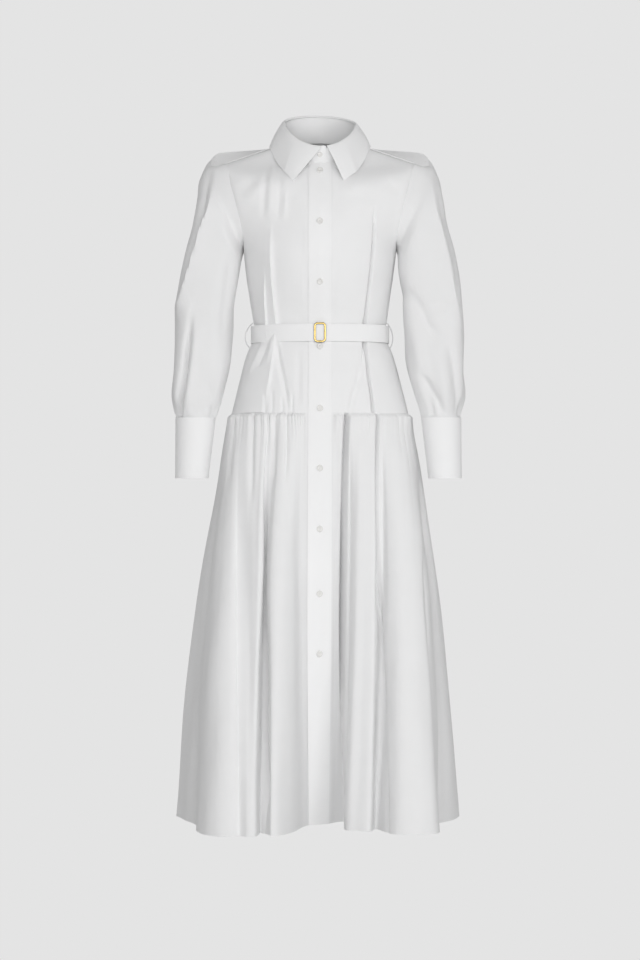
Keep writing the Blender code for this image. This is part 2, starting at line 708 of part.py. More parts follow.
def belt_sheet():
    """The belt, from under the buckle once round the waist, through the buckle and on as its tail."""
    tail = [2.0, 8.0, 14.0, 22.0, 32.0, 43.0, 55.0, BELT_TAIL_ANGLE]
    round_it = [*tail, *np.arange(80.0, 345.0, 12.0), 345.0, 352.5, 358.0]
    turns = [*round_it, *[t + 360 for t in tail]]
    inner = GAP + CLOTH + GAP + BELT_CLOTH
    outer = inner + GAP + BELT_CLOTH
    knots = (WAIST_Z - BELT_WIDTH / 2, WAIST_Z + BELT_WIDTH / 2)
    rings = np.array([[torso_ring_point(t, z) for t in turns] for z in knots])
    widest = rings[np.argmax(np.abs(rings[:, :, :2]).sum(axis=2), axis=0), range(len(turns))]
    grid = np.array([widest, widest])
    grid[:, :, 2] = np.array(knots)[:, None]
    sheet = grid_with_level_normals(grid)
    rise = np.interp(turns, [0, 340, 352, 430], [inner, inner, outer, outer])
    sheet[..., :3] += sheet[..., 3:] * rise[None, :, None]
    return sheet


def grid_with_level_normals(grid):
    """Level normals of a two-row band round the waist."""
    along = np.gradient(grid, axis=1)
    normals = np.stack([along[..., 1], -along[..., 0], np.zeros(along.shape[:2])], axis=-1)
    normals /= np.linalg.norm(normals, axis=2, keepdims=True)
    normals[:] = normals.mean(axis=0)
    return np.concatenate([grid, normals / np.linalg.norm(normals, axis=2, keepdims=True)], axis=2)


def box_between(name, low, high, finish):
    mesh = bmesh.new()
    bmesh.ops.create_cube(mesh, size=1.0)
    size = Vector(high) - Vector(low)
    middle = (Vector(high) + Vector(low)) / 2
    bmesh.ops.transform(mesh, matrix=Matrix.Translation(middle) @ Matrix.Diagonal((*size, 1)), verts=mesh.verts)
    data = bpy.data.meshes.new(name)
    mesh.to_mesh(data)
    mesh.free()
    return add_object(name, data, finish)


def buckle(front_y):
    """The frame in front of the belt, and the bar behind it that joins the frame at top and bottom."""
    corner, segments, wire = 0.0045, 3, BUCKLE_WIRE
    path = []
    for quarter in range(4):
        sign_x = 1 if quarter in (0, 3) else -1
        sign_z = 1 if quarter in (0, 1) else -1
        for step in range(segments + 1):
            turn = math.radians(90 * (quarter + step / segments))
            reach_x = BUCKLE_HALF_WIDTH - wire / 2 - corner
            reach_z = BUCKLE_HALF_HEIGHT - wire / 2 - corner
            path.append((sign_x * reach_x, sign_z * reach_z, math.cos(turn), math.sin(turn)))
    mesh = bmesh.new()
    rings = []
    for x, z, cos, sin in path:
        ring = []
        for away, deep in ((-0.5, -1), (0.5, -1), (0.5, 0), (-0.5, 0)):
            r = corner + away * wire
            ring.append(mesh.verts.new((x + r * cos, front_y + deep * wire, WAIST_Z + z + r * sin)))
        rings.append(ring)
    for i, ring in enumerate(rings):
        after = rings[(i + 1) % len(rings)]
        for j in range(4):
            k = (j + 1) % 4
            mesh.faces.new((ring[j], ring[k], after[k], after[j]))
    bmesh.ops.recalc_face_normals(mesh, faces=mesh.faces)
    data = bpy.data.meshes.new("buckle")
    mesh.to_mesh(data)
    mesh.free()
    frame = add_object("buckle", data, "brass")
    back_y = front_y + GAP + BELT_CLOTH + GAP
    half = BUCKLE_BAR / 2
    top = BUCKLE_HALF_HEIGHT - wire / 2
    bar = ((-half, back_y, -top - half), (half, back_y + half, top + half))
    pegs = [((-half, front_y - wire / 2, s * top - half), (half, back_y + half, s * top + half)) for s in (-1, 1)]
    for number, (low, high) in enumerate((bar, *pegs)):
        low, high = (Vector(p) + Vector((0, 0, WAIST_Z)) for p in (low, high))
        helper = box_between(f"buckle_helper_{number}", low, high, "brass")
        helper.hide_render = True
        helper.display_type = "WIRE"
        join = frame.modifiers.new(f"join_{number}", "BOOLEAN")
        join.operation = "UNION"
        join.object = helper
    return frame


def belt_loop(name, sign):
    """A narrow loop at the side seam that stands away from the belt."""
    steps = 8
    points = []
    for i in range(steps + 1):
        share = i / steps
        z = between(LOOP_FOOT_Z, LOOP_TOP_Z, share)
        foot = between(
            torso_ring_point(90, LOOP_FOOT_Z)[0], torso_ring_point(90, LOOP_TOP_Z)[0], share
        )
        points.append((foot + CLOTH + GAP + LOOP_REACH * math.sin(math.pi * share) ** 0.7, z))
    grid = np.array([[(x, y, z) for y in (-LOOP_WIDTH / 2, LOOP_WIDTH / 2)] for x, z in points])
    sheet = with_normals([grid])[0]
    levelled(sheet, 0)
    levelled(sheet, -1)
    return wall(name, sheet if sign > 0 else mirrored(sheet), CLOTH)


def shoulder_tab(name, sign):
    grid = np.array(
        [[(t.x, t.front_y, t.front_z) for t in TAB_SECTIONS], [(t.x, t.back_y, t.back_z) for t in TAB_SECTIONS]]
    )
    sheet = with_normals([grid])[0]
    return sheet, wall(name, sheet if sign > 0 else mirrored(sheet), FIRM_CLOTH)


def button(name, seat, normal, radius=BUTTON_RADIUS, gap=GAP):
    """A round button whose back is a gap off its seat."""
    normal = Vector(normal).normalized()
    mesh = bmesh.new()
    bmesh.ops.create_cone(
        mesh,
        cap_ends=True,
        segments=BUTTON_SEGMENTS,
        radius1=radius,
        radius2=radius,
        depth=BUTTON_THICK,
        matrix=Matrix.Translation((0, 0, BUTTON_THICK / 2 + gap)),
    )
    data = bpy.data.meshes.new(name)
    mesh.to_mesh(data)
    mesh.free()
    data.shade_smooth()
    data.set_sharp_from_angle(angle=math.radians(40))
    made = add_object(name, data, "button")
    made.location = seat
    made.rotation_mode = "QUATERNION"
    made.rotation_quaternion = normal.to_track_quat("Z", "Y")
    return made


def on_column(column, z):
    """Point and normal of a column of a sheet at a height."""
    order = np.argsort(column[:, 2])
    return np.array([np.interp(z, column[order, 2], column[order, k]) for k in range(6)])


# ---------------------------------------------------------------- the dress


def build_bodice():
    shares = bodice_shares(neck_columns=5, shoulder_columns=6)
    knots = [*LOWER_KNOTS, *upper_knots()]
    front_half = half_bodice("front", shares, knots)
    back_half = half_bodice("back", shares, knots)
    front_right = mirrored(front_half)
    back = np.concatenate([back_half[:, ::-1], mirrored(back_half)[:, ::-1][:, 1:]], axis=1)
    underarm_row = len(LOWER_KNOTS)
    front_edge = front_half[underarm_row:, -1]
    back_edge = back_half[underarm_row:, -1]
    sleeve_left, sleeve_right = (
        sleeve_grid(front_edge, back_edge, SLEEVE_KNOTS, swing) for swing in (LEFT_SLEEVE_SWING, 0.0)
    )
    sheets = [front_half, front_right, back, sleeve_left, mirrored(sleeve_right)]
    sheets = with_normals(sheets, rings=(3, 4))
    for sheet in sheets:
        levelled(sheet, 0)
    front_half, front_right, back, sleeve_left, sleeve_right = sheets
    left, right = lapped_fronts(front_half[:, 0], front_right[:, -2], front_half[:, 1:], front_right[:, :-1])
    wall("front_left", left, CLOTH, ("bottom", "top", "end"))
    wall("front_right", right, CLOTH, ("bottom", "top", "start"))
    wall("back", back, CLOTH, ("bottom", "top", "start", "end"))
    wall("sleeve_left", sleeve_left, CLOTH, ("bottom", "top"), ring=True)
    wall("sleeve_right", sleeve_right, CLOTH, ("bottom", "top"), ring=True)
    return front_right[:, -2], front_half[:, 0], front_half[:, 1]


def build_cuffs():
    for side, sign, swing in (("left", 1, LEFT_SLEEVE_SWING), ("right", -1, 0.0)):
        sheet = cuff_sheet(swing)
        wall(f"cuff_{side}", sheet if sign > 0 else mirrored(sheet), FIRM_CLOTH, ("top",))
        seat_column = between(sheet[:, -2], sheet[:, -1], 0.35)
        for number, height in enumerate(CUFF_BUTTON_HEIGHTS, 1):
            seat = between(seat_column[0], seat_column[1], height)
            place = seat[:3] * (sign, 1, 1)
            normal = seat[3:] * (sign, 1, 1)
            button(f"cuff_button_{side}_{number}", place, normal, SMALL_BUTTON_RADIUS, gap=3 * GAP)


def build_skirt():
    sheet, left_seam, right_seam = skirt_sheets()
    middle, left_bed, right_bed = sheet[:, 0], sheet[:, 1], sheet[:, -1]
    left, right = lapped_fronts(middle, right_bed, sheet[:, 1 : left_seam + 1], sheet[:, right_seam:])
    wall("skirt_front_left", left, CLOTH, ("top", "end"))
    wall("skirt_front_right", right, CLOTH, ("top", "start"))
    wall("skirt_back", sheet[:, left_seam : right_seam + 1], CLOTH, ("top", "start", "end"))
    return right_bed, middle, left_bed


def build_band(bodice_bed, skirt_bed):
    """One band from the neckline to the hem."""
    beds = []
    for upper, lower in zip(bodice_bed, skirt_bed):
        beds.append(np.concatenate([lower[:-1], upper]))
    sheet = band_sheet(*beds, GAP)
    wall("button_band", sheet, CLOTH, ("top",), distance=0.0032)
    column = sheet[:, 1]
    for number, z in enumerate(BUTTON_HEIGHTS, 1):
        seat = on_column(column, z)
        button(f"front_button_{number}", seat[:3], seat[3:], gap=2 * GAP)


def build_collar():
    stand = stand_sheet(neck_columns=5)
    wall("collar_stand", stand, FIRM_CLOTH)
    wall("collar_leaf", leaf_sheet(27), CLOTH)
    seat = between(stand[0, -2], stand[1, -2], 0.5)
    button("stand_button", seat[:3], (0, -1, 0), SMALL_BUTTON_RADIUS)


def build_belt():
    sheet = belt_sheet()
    wall("belt", sheet, BELT_CLOTH)
    front_y = min(sheet[:, :, 1].min(axis=1)) - GAP
    buckle(front_y)
    belt_loop("belt_loop_left", 1)
    belt_loop("belt_loop_right", -1)


def build_tabs():
    for side, sign in (("left", 1), ("right", -1)):
        sheet, _ = shoulder_tab(f"shoulder_tab_{side}", sign)
        seat = (sheet[0, -2] + sheet[1, -2]) / 2
        place, normal = seat[:3] * (sign, 1, 1), seat[3:] * (sign, 1, 1)
        button(f"tab_button_{side}", place, normal, SMALL_BUTTON_RADIUS, gap=2 * GAP)


def main():
    clear_scene()
    bodice_bed = build_bodice()
    build_cuffs()
    skirt_bed = build_skirt()
    build_band(bodice_bed, skirt_bed)
    build_collar()
    build_belt()
    build_tabs()


main()
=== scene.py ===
import json
import math
import random
from collections import namedtuple

import bmesh
import bpy
import numpy as np
from mathutils import Matrix, Vector, noise
from mathutils.bvhtree import BVHTree

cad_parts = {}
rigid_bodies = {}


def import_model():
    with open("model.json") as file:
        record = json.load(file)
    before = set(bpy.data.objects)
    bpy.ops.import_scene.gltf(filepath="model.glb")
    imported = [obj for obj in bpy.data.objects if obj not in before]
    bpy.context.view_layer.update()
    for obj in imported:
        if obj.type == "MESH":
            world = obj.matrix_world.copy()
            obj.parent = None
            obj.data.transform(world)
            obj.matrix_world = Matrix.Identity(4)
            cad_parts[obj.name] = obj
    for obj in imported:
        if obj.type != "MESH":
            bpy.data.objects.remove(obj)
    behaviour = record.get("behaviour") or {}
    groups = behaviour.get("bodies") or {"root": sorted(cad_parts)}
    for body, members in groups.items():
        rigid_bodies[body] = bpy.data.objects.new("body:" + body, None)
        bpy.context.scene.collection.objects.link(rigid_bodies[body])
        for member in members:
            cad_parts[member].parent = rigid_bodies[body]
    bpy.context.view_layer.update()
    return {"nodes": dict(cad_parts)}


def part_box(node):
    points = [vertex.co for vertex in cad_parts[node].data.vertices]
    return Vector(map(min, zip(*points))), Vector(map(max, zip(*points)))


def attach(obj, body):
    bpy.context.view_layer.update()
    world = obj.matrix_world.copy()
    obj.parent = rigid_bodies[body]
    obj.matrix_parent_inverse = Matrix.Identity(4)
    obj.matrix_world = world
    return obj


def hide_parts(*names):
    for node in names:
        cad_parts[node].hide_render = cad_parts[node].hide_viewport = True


for leftOver in list(bpy.data.objects):
    bpy.data.objects.remove(leftOver)
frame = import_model()
print("frame loaded:", len(frame["nodes"]), "pieces")

cloth = {
    "thick": 0.0008,
    "firmThick": 0.0012,
    "beltThick": 0.0016,
    "seamGap": 0.00004,
    "weld": 0.00002,
    "wallInFrame": 0.0012,
    "gap": 0.0003,
}


def smoothStep(value):
    value = np.clip(value, 0, 1)
    return value * value * (3 - 2 * value)


def ramp(value, start, end):  # 0 at the start, 1 at the end
    return smoothStep((value - start) / (end - start))


def between(first, second, share):
    return first + (second - first) * share


def shown(name, data):  # a new object, linked to the scene
    made = bpy.data.objects.new(name, data)
    bpy.context.scene.collection.objects.link(made)
    return made


def bakedMesh(source):  # what the modifiers make of an object, which goes afterwards
    made = bpy.data.meshes.new_from_object(source.evaluated_get(bpy.context.evaluated_depsgraph_get()))
    bpy.data.objects.remove(source)
    return made


def closedRing(grid):  # its first column again at the end
    return np.concatenate([grid, grid[:, :1]], axis=1)


def facedOutwards(mesh):
    work = bmesh.new()
    work.from_mesh(mesh)
    bmesh.ops.recalc_face_normals(work, faces=work.faces)
    work.to_mesh(mesh)
    work.free()


def quads(numbers):  # the faces between neighbouring rows and columns of point numbers
    corners = numbers[:-1, :-1], numbers[:-1, 1:], numbers[1:, 1:], numbers[1:, :-1]
    return np.stack(corners, -1).reshape(-1, 4).tolist()


def throughPoints(knots, rows, at):  # a smooth curve through rows at rising knots, read at other knots
    knots, rows, at = np.asarray(knots, float), np.asarray(rows, float), np.asarray(at, float)
    wide = (-1,) + (1,) * (rows.ndim - 1)
    steps = np.diff(knots)
    slopes = np.diff(rows, axis=0) / steps.reshape(wide)
    before, after = steps[:-1].reshape(wide), steps[1:].reshape(wide)
    inner = (slopes[:-1] * after + slopes[1:] * before) / (before + after)
    tangents = np.concatenate([slopes[:1], inner, slopes[-1:]])
    i = np.clip(np.searchsorted(knots, at, side="right") - 1, 0, len(steps) - 1)
    span = steps[i].reshape(wide)
    t = ((at - knots[i]) / steps[i]).reshape(wide)
    near = (2 * t**3 - 3 * t**2 + 1) * rows[i] + (t**3 - 2 * t**2 + t) * span * tangents[i]
    far = (-2 * t**3 + 3 * t**2) * rows[i + 1] + (t**3 - t**2) * span * tangents[i + 1]
    return near + far


def mirrored(grid):  # the same sheet on the other side, its columns still anticlockwise
    flipped = grid[:, ::-1].copy()
    flipped[..., 0] *= -1
    if grid.shape[-1] == 6:
        flipped[..., 3] *= -1
    return flipped


def ownSide(sheet, side):
    return sheet if side == "Left" else mirrored(sheet)


def unit(vectors):
    return vectors / np.maximum(np.linalg.norm(vectors, axis=-1, keepdims=True), 1e-12)


def freshNormals(sheet, ring=False):  # points and normals side by side
    grid = sheet[..., :3]
    whole = closedRing(grid) if ring else grid
    faces = np.cross(whole[1:, 1:] - whole[:-1, :-1], whole[1:, :-1] - whole[:-1, 1:])
    total = np.zeros_like(whole)
    for rowPart in (slice(None, -1), slice(1, None)):
        for columnPart in (slice(None, -1), slice(1, None)):
            total[rowPart, columnPart] += faces
    if ring:
        total[:, 0] += total[:, -1]
        total = total[:, :-1]
    return np.concatenate([grid, unit(total)], axis=2)


def lifted(sheet, heights):
    moved = sheet.copy()
    moved[..., :3] += moved[..., 3:] * np.asarray(heights)[..., None]
    return moved


def arcLengths(grid, axis):  # metres along rows or columns from the first point
    steps = np.linalg.norm(np.diff(grid[..., :3], axis=axis), axis=-1)
    start = np.zeros_like(np.take(steps, [0], axis=axis))
    return np.cumsum(np.concatenate([start, steps], axis=axis), axis=axis)


def borderDistance(sheet, edges):  # metres from each point to the nearest of the named borders
    across, up = arcLengths(sheet, 1), arcLengths(sheet, 0)
    away = {"start": across, "end": across[:, -1:] - across, "bottom": up, "top": up[-1:] - up}
    return np.min([away[edge] for edge in edges], axis=0)


creaseLine = namedtuple("creaseLine", "path width height kind")


def crease(path, width, height, kind="soft"):  # in millimetres; the path is x, z, x, z and so on
    return creaseLine(np.reshape(path, (-1, 2)) / 1000, width / 1000, height / 1000, kind)


def creaseProfile(kind, s):  # s is the distance from the crease in widths, signed by its side
    if kind == "dart":  # a sewn line that sinks between two soft swellings
        return 0.55 * np.exp(-((np.abs(s) - 1.1) ** 2) * 1.6) - np.exp(-np.abs(s) * 3.2)
    if kind == "lip":  # a tuck's edge: steep on one side, easy on the other, which is its left going down
        return np.where(s > 0, np.exp(-s), np.exp(s * 7.0))
    if kind == "ridge":  # a pressed edge between two flatter faces
        return np.exp(-np.abs(s))
    return np.exp(-(s**2))


def creaseHeights(places, creases):  # places: two coordinates of each point on the panel
    flat = places.reshape(-1, 2)
    total = np.zeros(len(flat))
    for line in creases:
        count = len(line.path)
        smooth = throughPoints(range(count), line.path, np.linspace(0, count - 1, 6 * count))
        nearest, position = np.full(len(flat), 1e9), np.zeros(len(flat))
        for k, (start, end) in enumerate(zip(smooth[:-1], smooth[1:])):
            along = end - start
            t = np.clip((flat - start) @ along / (along @ along), 0, 1)
            away = flat - start - t[:, None] * along
            side = np.sign(along[1] * away[:, 0] - along[0] * away[:, 1])
            distance = np.hypot(away[:, 0], away[:, 1])
            closer = distance < np.abs(nearest)
            nearest = np.where(closer, distance * np.where(side < 0, -1, 1), nearest)
            position = np.where(closer, (k + t) / (len(smooth) - 1), position)
        fade = smoothStep(np.minimum(position, 1 - position) * 3.2)
        total += line.height * fade * creaseProfile(line.kind, nearest / line.width)
    return total.reshape(places.shape[:-1])


def rumple(sheet, swell, seed):  # slow uneven heights, up to about half the swell's own either way
    points = sheet[..., :3].reshape(-1, 3) / swell["scale"] / np.asarray(swell["stretch"]) + seed
    return swell["height"] * np.array([noise.noise(Vector(p)) for p in points]).reshape(sheet.shape[:2])


borders = {  # each border of a sheet and the line of points next to it
    "bottom": (np.s_[0], np.s_[1]),
    "top": (np.s_[-1], np.s_[-2]),
    "start": (np.s_[:, 0], np.s_[:, 1]),
    "end": (np.s_[:, -1], np.s_[:, -2]),
}


def drawnBack(grid, edges):  # the named borders, moved inwards by half a seam's gap
    grid = grid.copy()
    for border, inner in (borders[edge] for edge in edges):
        grid[border] += unit(grid[inner] - grid[border]) * cloth["seamGap"]
    return grid


outerSheets = {}


def clothPiece(name, sheet, material, edges=(), ring=False, thick=cloth["thick"]):  # takes the place of its solid
    outer = drawnBack(sheet[..., :3], edges)
    inner = drawnBack(sheet[..., :3] - sheet[..., 3:] * thick, edges)
    outerSheets[name] = outer
    if ring:  # the repeated column gives the weave an edge to start from
        outer, inner = closedRing(outer), closedRing(inner)
    front, back = np.arange(2 * outer[..., 0].size).reshape(2, *outer.shape[:2])
    strips = [front, back[:, ::-1], np.stack([back[0], front[0]]), np.stack([front[-1], back[-1]])]
    if not ring:
        strips += [np.stack([front[:, 0], back[:, 0]]), np.stack([back[:, -1], front[:, -1]])]
    mesh = bpy.data.meshes.new(name)
    points = np.concatenate([outer.reshape(-1, 3), inner.reshape(-1, 3)])
    mesh.from_pydata(points.tolist(), [], [face for strip in strips for face in quads(strip)])
    spread = np.tile(np.stack([arcLengths(outer, 1), arcLengths(outer, 0)], -1).reshape(-1, 2), (2, 1))
    corners = np.zeros(len(mesh.loops), np.int32)
    mesh.loops.foreach_get("vertex_index", corners)
    mesh.uv_layers.new(name="weave").data.foreach_set("uv", spread[corners].astype(np.float32).ravel())
    if ring:
        work = bmesh.new()
        work.from_mesh(mesh)
        bmesh.ops.remove_doubles(work, verts=work.verts, dist=cloth["weld"])
        work.to_mesh(mesh)
        work.free()
    node = "".join("_" + letter.lower() if letter.isupper() else letter for letter in name)
    finishPiece(name, mesh, material, node)


def clothTree(names):  # the outer faces of the named pieces, to lay others on
    points, faces = [], []
    for grid in (outerSheets[name] for name in names):
        faces += quads(np.arange(grid[..., 0].size).reshape(grid.shape[:2]) + len(points))
        points += [Vector(p) for p in grid.reshape(-1, 3)]
    return BVHTree.FromPolygons(points, faces)


def laidOn(tree, point, clear, onlyNearer=False):  # the point moved to this far above the cloth
    place, normal, _, _ = tree.find_nearest(Vector(point), 0.03)
    if place is None or (onlyNearer and (Vector(point) - place).dot(normal) >= clear):
        return np.array(point)
    return np.array(place + normal * clear)


def finishPiece(name, mesh, material, node=None, sharpAngle=45):
    mesh.validate()
    mesh.shade_smooth()
    mesh.set_sharp_from_angle(angle=math.radians(sharpAngle))
    if not mesh.materials:
        mesh.materials.append(material)
    made = shown(name, mesh)
    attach(made, "root")
    if node:
        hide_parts(node)
    return made


# shader groups that more than one finish uses


def newGroup(name, inputs, outputs):
    group = bpy.data.node_groups.new(name, "ShaderNodeTree")
    for label, value in inputs.items():
        group.interface.new_socket(label, in_out="INPUT", socket_type="NodeSocketFloat").default_value = value
    for label in outputs:
        group.interface.new_socket(label, in_out="OUTPUT", socket_type="NodeSocketFloat")
    return group, group.nodes.new("NodeGroupInput").outputs, group.nodes.new("NodeGroupOutput").inputs


def addNode(tree, kind, links=None, **settings):
    node = tree.nodes.new(kind)
    for key, value in settings.items():
        setattr(node, key, value)
    for socket, value in (links or {}).items():
        if isinstance(value, bpy.types.NodeSocket):
            tree.links.new(value, node.inputs[socket])
        else:
            node.inputs[socket].default_value = value
    return node


def mathNode(tree, operation, first, second=0.0):
    return addNode(tree, "ShaderNodeMath", {0: first, 1: second}, operation=operation).outputs[0]


def weaveGroup():  # plain weave from the piece's own UV map, whose units are metres of cloth
    group, given, out = newGroup("plainWeave", {"threadsPerMetre": 3400.0, "slubs": 0.3}, ("height", "shade"))
    uv = addNode(group, "ShaderNodeUVMap", uv_map="weave").outputs["UV"]
    scaled = addNode(group, "ShaderNodeVectorMath", {0: uv, 3: given[0]}, operation="SCALE").outputs[0]
    split = addNode(group, "ShaderNodeSeparateXYZ", {0: scaled}).outputs
    warp, weft = (mathNode(group, "SINE", mathNode(group, "MULTIPLY", split[k], math.pi)) for k in (0, 1))
    stretched = addNode(group, "ShaderNodeMapping", {"Vector": uv, "Scale": poplin["slubScale"]}).outputs[0]
    slub = addNode(group, "ShaderNodeTexNoise", {"Vector": stretched, "Scale": 1.0, "Detail": 2.0}).outputs[0]
    thick = mathNode(group, "MULTIPLY", mathNode(group, "SUBTRACT", slub, 0.5), given[1])
    crossing = mathNode(group, "MULTIPLY", warp, weft)
    height = mathNode(group, "ADD", mathNode(group, "MULTIPLY", crossing, 0.5), thick)
    group.links.new(height, out[0])
    group.links.new(mathNode(group, "ADD", mathNode(group, "MULTIPLY", height, 0.5), 0.5), out[1])
    return group


def unevennessWithDipShadeGroup():  # faint unevenness of pressed cloth over the whole dress, on Object coordinates, with painted shade: the colour a little darker where the bumps sink
    group, given, out = newGroup("pressedUnevenness", {"scale": 14.0, "amount": 0.03}, ("factor", "height"))
    place = addNode(group, "ShaderNodeTexCoord").outputs["Object"]
    cloud = addNode(group, "ShaderNodeTexNoise", {"Vector": place, "Scale": given[0], "Detail": 3.0}).outputs[0]
    centred = mathNode(group, "SUBTRACT", cloud, 0.5)
    group.links.new(mathNode(group, "ADD", mathNode(group, "MULTIPLY", centred, given[1]), 1.0), out[0])
    group.links.new(centred, out[1])
    return group


def plainMaterial(name, colour, roughness, **sockets):
    material = bpy.data.materials.new(name)
    material.use_nodes = True
    shader = material.node_tree.nodes["Principled BSDF"]
    for socket, value in {"Base_Color": (*colour, 1.0), "Roughness": roughness, **sockets}.items():
        shader.inputs[socket.replace("_", " ")].default_value = value
    return material, material.node_tree, shader


poplin = {
    # the bodice and skirt tones are the sleeves' white poplin painted lighter: painted light for the fuller light
    # that falls on the chest and the skirt
    "tones": {"white": 0.880, "bodice": 0.920, "skirt": 0.895, "doubled": 0.955},
    "blue": 0.002,
    "roughness": 0.82,
    "sheen": 0.12,
    "threadsPerMetre": 3400.0,
    "slubScale": (60.0, 900.0, 1.0),
    "weaveDepth": 0.00006,
    "weaveShade": 0.985,
    "unevenDepth": 0.0012,
    "unevenScale": 26.0,
}
weaveNodes, unevennessWithDipShadeNodes = weaveGroup(), unevennessWithDipShadeGroup()


def poplinMaterial(name, tone):
    colour = (tone, tone, tone + poplin["blue"])
    gloss = {"Sheen_Weight": poplin["sheen"], "Sheen_Roughness": 0.5, "Specular_IOR_Level": 0.3}
    material, tree, shader = plainMaterial(name, colour, poplin["roughness"], **gloss)
    woven = addNode(tree, "ShaderNodeGroup", node_tree=weaveNodes)
    woven.inputs["threadsPerMetre"].default_value = poplin["threadsPerMetre"]
    pressed = addNode(tree, "ShaderNodeGroup", node_tree=unevennessWithDipShadeNodes)
    pressed.inputs["scale"].default_value = poplin["unevenScale"]
    shades = {"Value": woven.outputs["shade"], "To Min": poplin["weaveShade"], "To Max": 1.0}
    shade = addNode(tree, "ShaderNodeMapRange", shades).outputs[0]
    tint = addNode(tree, "ShaderNodeMix", {"Factor": 1.0}, data_type="RGBA", blend_type="MULTIPLY")
    tint.inputs[6].default_value = (*colour, 1.0)
    # painted shade: the colour darkened by the weave's shade and in the dips of the pressed unevenness
    tree.links.new(mathNode(tree, "MULTIPLY", shade, pressed.outputs["factor"]), tint.inputs[7])
    tree.links.new(tint.outputs[2], shader.inputs["Base Color"])
    normal = None
    for height, depth in ((woven.outputs["height"], "weaveDepth"), (pressed.outputs["height"], "unevenDepth")):
        bump = addNode(tree, "ShaderNodeBump", {"Height": height, "Distance": poplin[depth]})
        if normal:
            tree.links.new(normal, bump.inputs["Normal"])
        normal = bump.outputs[0]
    tree.links.new(normal, shader.inputs["Normal"])
    return material


# the bodice and skirt finishes are lit copies of one poplin, made lighter by painted light
whitePoplin, bodicePaintedLightPoplin, skirtPaintedLightPoplin, doubledPoplin = (
    poplinMaterial(f"{name}Poplin", tone) for name, tone in poplin["tones"].items()
)
threadMaterial = plainMaterial("whiteThread", (0.86, 0.86, 0.86), 0.6)[0]
buttonMaterial = plainMaterial("pearlButton", (0.84, 0.83, 0.81), 0.22)[0]
goldMaterial = plainMaterial("paleGold", (0.88, 0.66, 0.26), 0.25, Metallic=1.0)[0]
darkBrass = plainMaterial("darkenedBrass", (0.050, 0.030, 0.016), 0.45, Metallic=0.3)[0]
print("finishes made")

# the bodice

bodySection = namedtuple("bodySection", "name z halfWidth frontDepth backDepth")
chestSection = namedtuple("chestSection", "armholeAngle knot frontY frontZ backY backZ")
bodice = {
    "sections": [
        bodySection("hip seam", -0.496, 0.166, 0.128, 0.130),
        bodySection("high hip", -0.432, 0.150, 0.117, 0.116),
        bodySection("below the belt", -0.384, 0.136, 0.104, 0.097),
        bodySection("waist", -0.348, 0.121, 0.097, 0.086),
        bodySection("above the belt", -0.318, 0.126, 0.100, 0.089),
        bodySection("ribs", -0.282, 0.131, 0.110, 0.096),
        bodySection("under the bust", -0.240, 0.137, 0.122, 0.104),
        bodySection("underarm", -0.190, 0.143, 0.130, 0.111),
    ],
    "chest": [
        chestSection(135.0, -0.150, -0.1285, -0.150, 0.114, -0.143),
        chestSection(90.0, -0.105, -0.1150, -0.102, 0.110, -0.085),
        chestSection(45.0, -0.060, -0.0970, -0.062, 0.093, -0.022),
    ],
    "topKnot": -0.015,
    "flatness": 0.80,
    "chestFlatness": 1.45,
    "neckHalfWidth": 0.067,
    "neckSide": (0.001, 0.009),
    "neckFront": (-0.080, -0.030),
    "neckBack": (0.062, 0.030),
    "shoulderTip": (0.185, 0.003, -0.0235),
    "underarm": (0.143, 0.000, -0.190),
    "armholeFront": 0.076,
    "armholeBack": 0.070,
    "armholeInset": 0.008,
    "bedHalfWidth": 0.0225,
    "frontsMeet": 0.0175,
    "neckColumns": 52,
    "shoulderColumns": 96,
    "bedColumns": 6,
    "rowStep": 0.0033,
    "armholeSteps": 64,
    "seamHold": 0.016,
    "bedHold": 0.012,
    "swell": {"height": 0.0022, "scale": 0.055, "stretch": (1.0, 1.0, 1.6)},
}
bodiceFrontCreases = [
    crease((-90.5, -130, -88.5, -200, -85.5, -270, -77.5, -345, -70, -400), 17, 6.2, "lip"),
    crease((-101, -225, -99, -290, -95.5, -345, -95, -370), 7, 5, "lip"),
    crease((-79, -330, -83, -370, -92, -430, -108, -520), 15, 4.8, "lip"),
    crease((-77, -362, -77.1, -392, -66, -445, -54, -520), 4.4, -4),
    crease((-39, -372, -38.5, -430, -40, -500), 7, -2.2),
    crease((-106, -362, -114, -385, -126, -410, -132, -425), 4, 2.6),
    crease((-92, -352, -99, -375, -110, -400, -115, -412), 3.8, -2.8),
    crease((-86, -356, -90, -380, -100, -410), 3.4, 2),
    crease((-100, -455, -101, -480, -103, -530), 3, -2.2),
    crease((-88, -450, -88, -480, -89, -530), 2.8, -2),
    crease((-70, -460, -69, -485, -68, -530), 2.8, -2.2),
    crease((-50, -455, -51, -485, -51.5, -530), 2.8, -2),
    crease((77, -430, 84.4, -326, 93, -250, 99.1, -171, 101.5, -110), 1.9, -15),
    crease((104, -580, 97.3, -482, 90.5, -430, 84.4, -372, 79, -300), 1.9, -15),
    crease((77, -400, 71.6, -429, 60, -470, 50, -520), 5.2, -3.8),
    crease((-88, -30, -90, -70, -94, -150), 6, 1.8),
    crease((-100, -40, -103, -90, -106, -150), 6, -2.4),
    crease((-73, -50, -75, -95, -79, -150), 4.4, -2),
    crease((-62, -80, -64, -110, -67, -150), 4, 1.8),
    crease((-156, -90, -138, -78, -112, -56), 11, -2),
    crease((-142, -112, -122, -90, -102, -60), 11, 2),
    crease((150, -92, 138, -78, 120, -66), 9, -1.8),
]
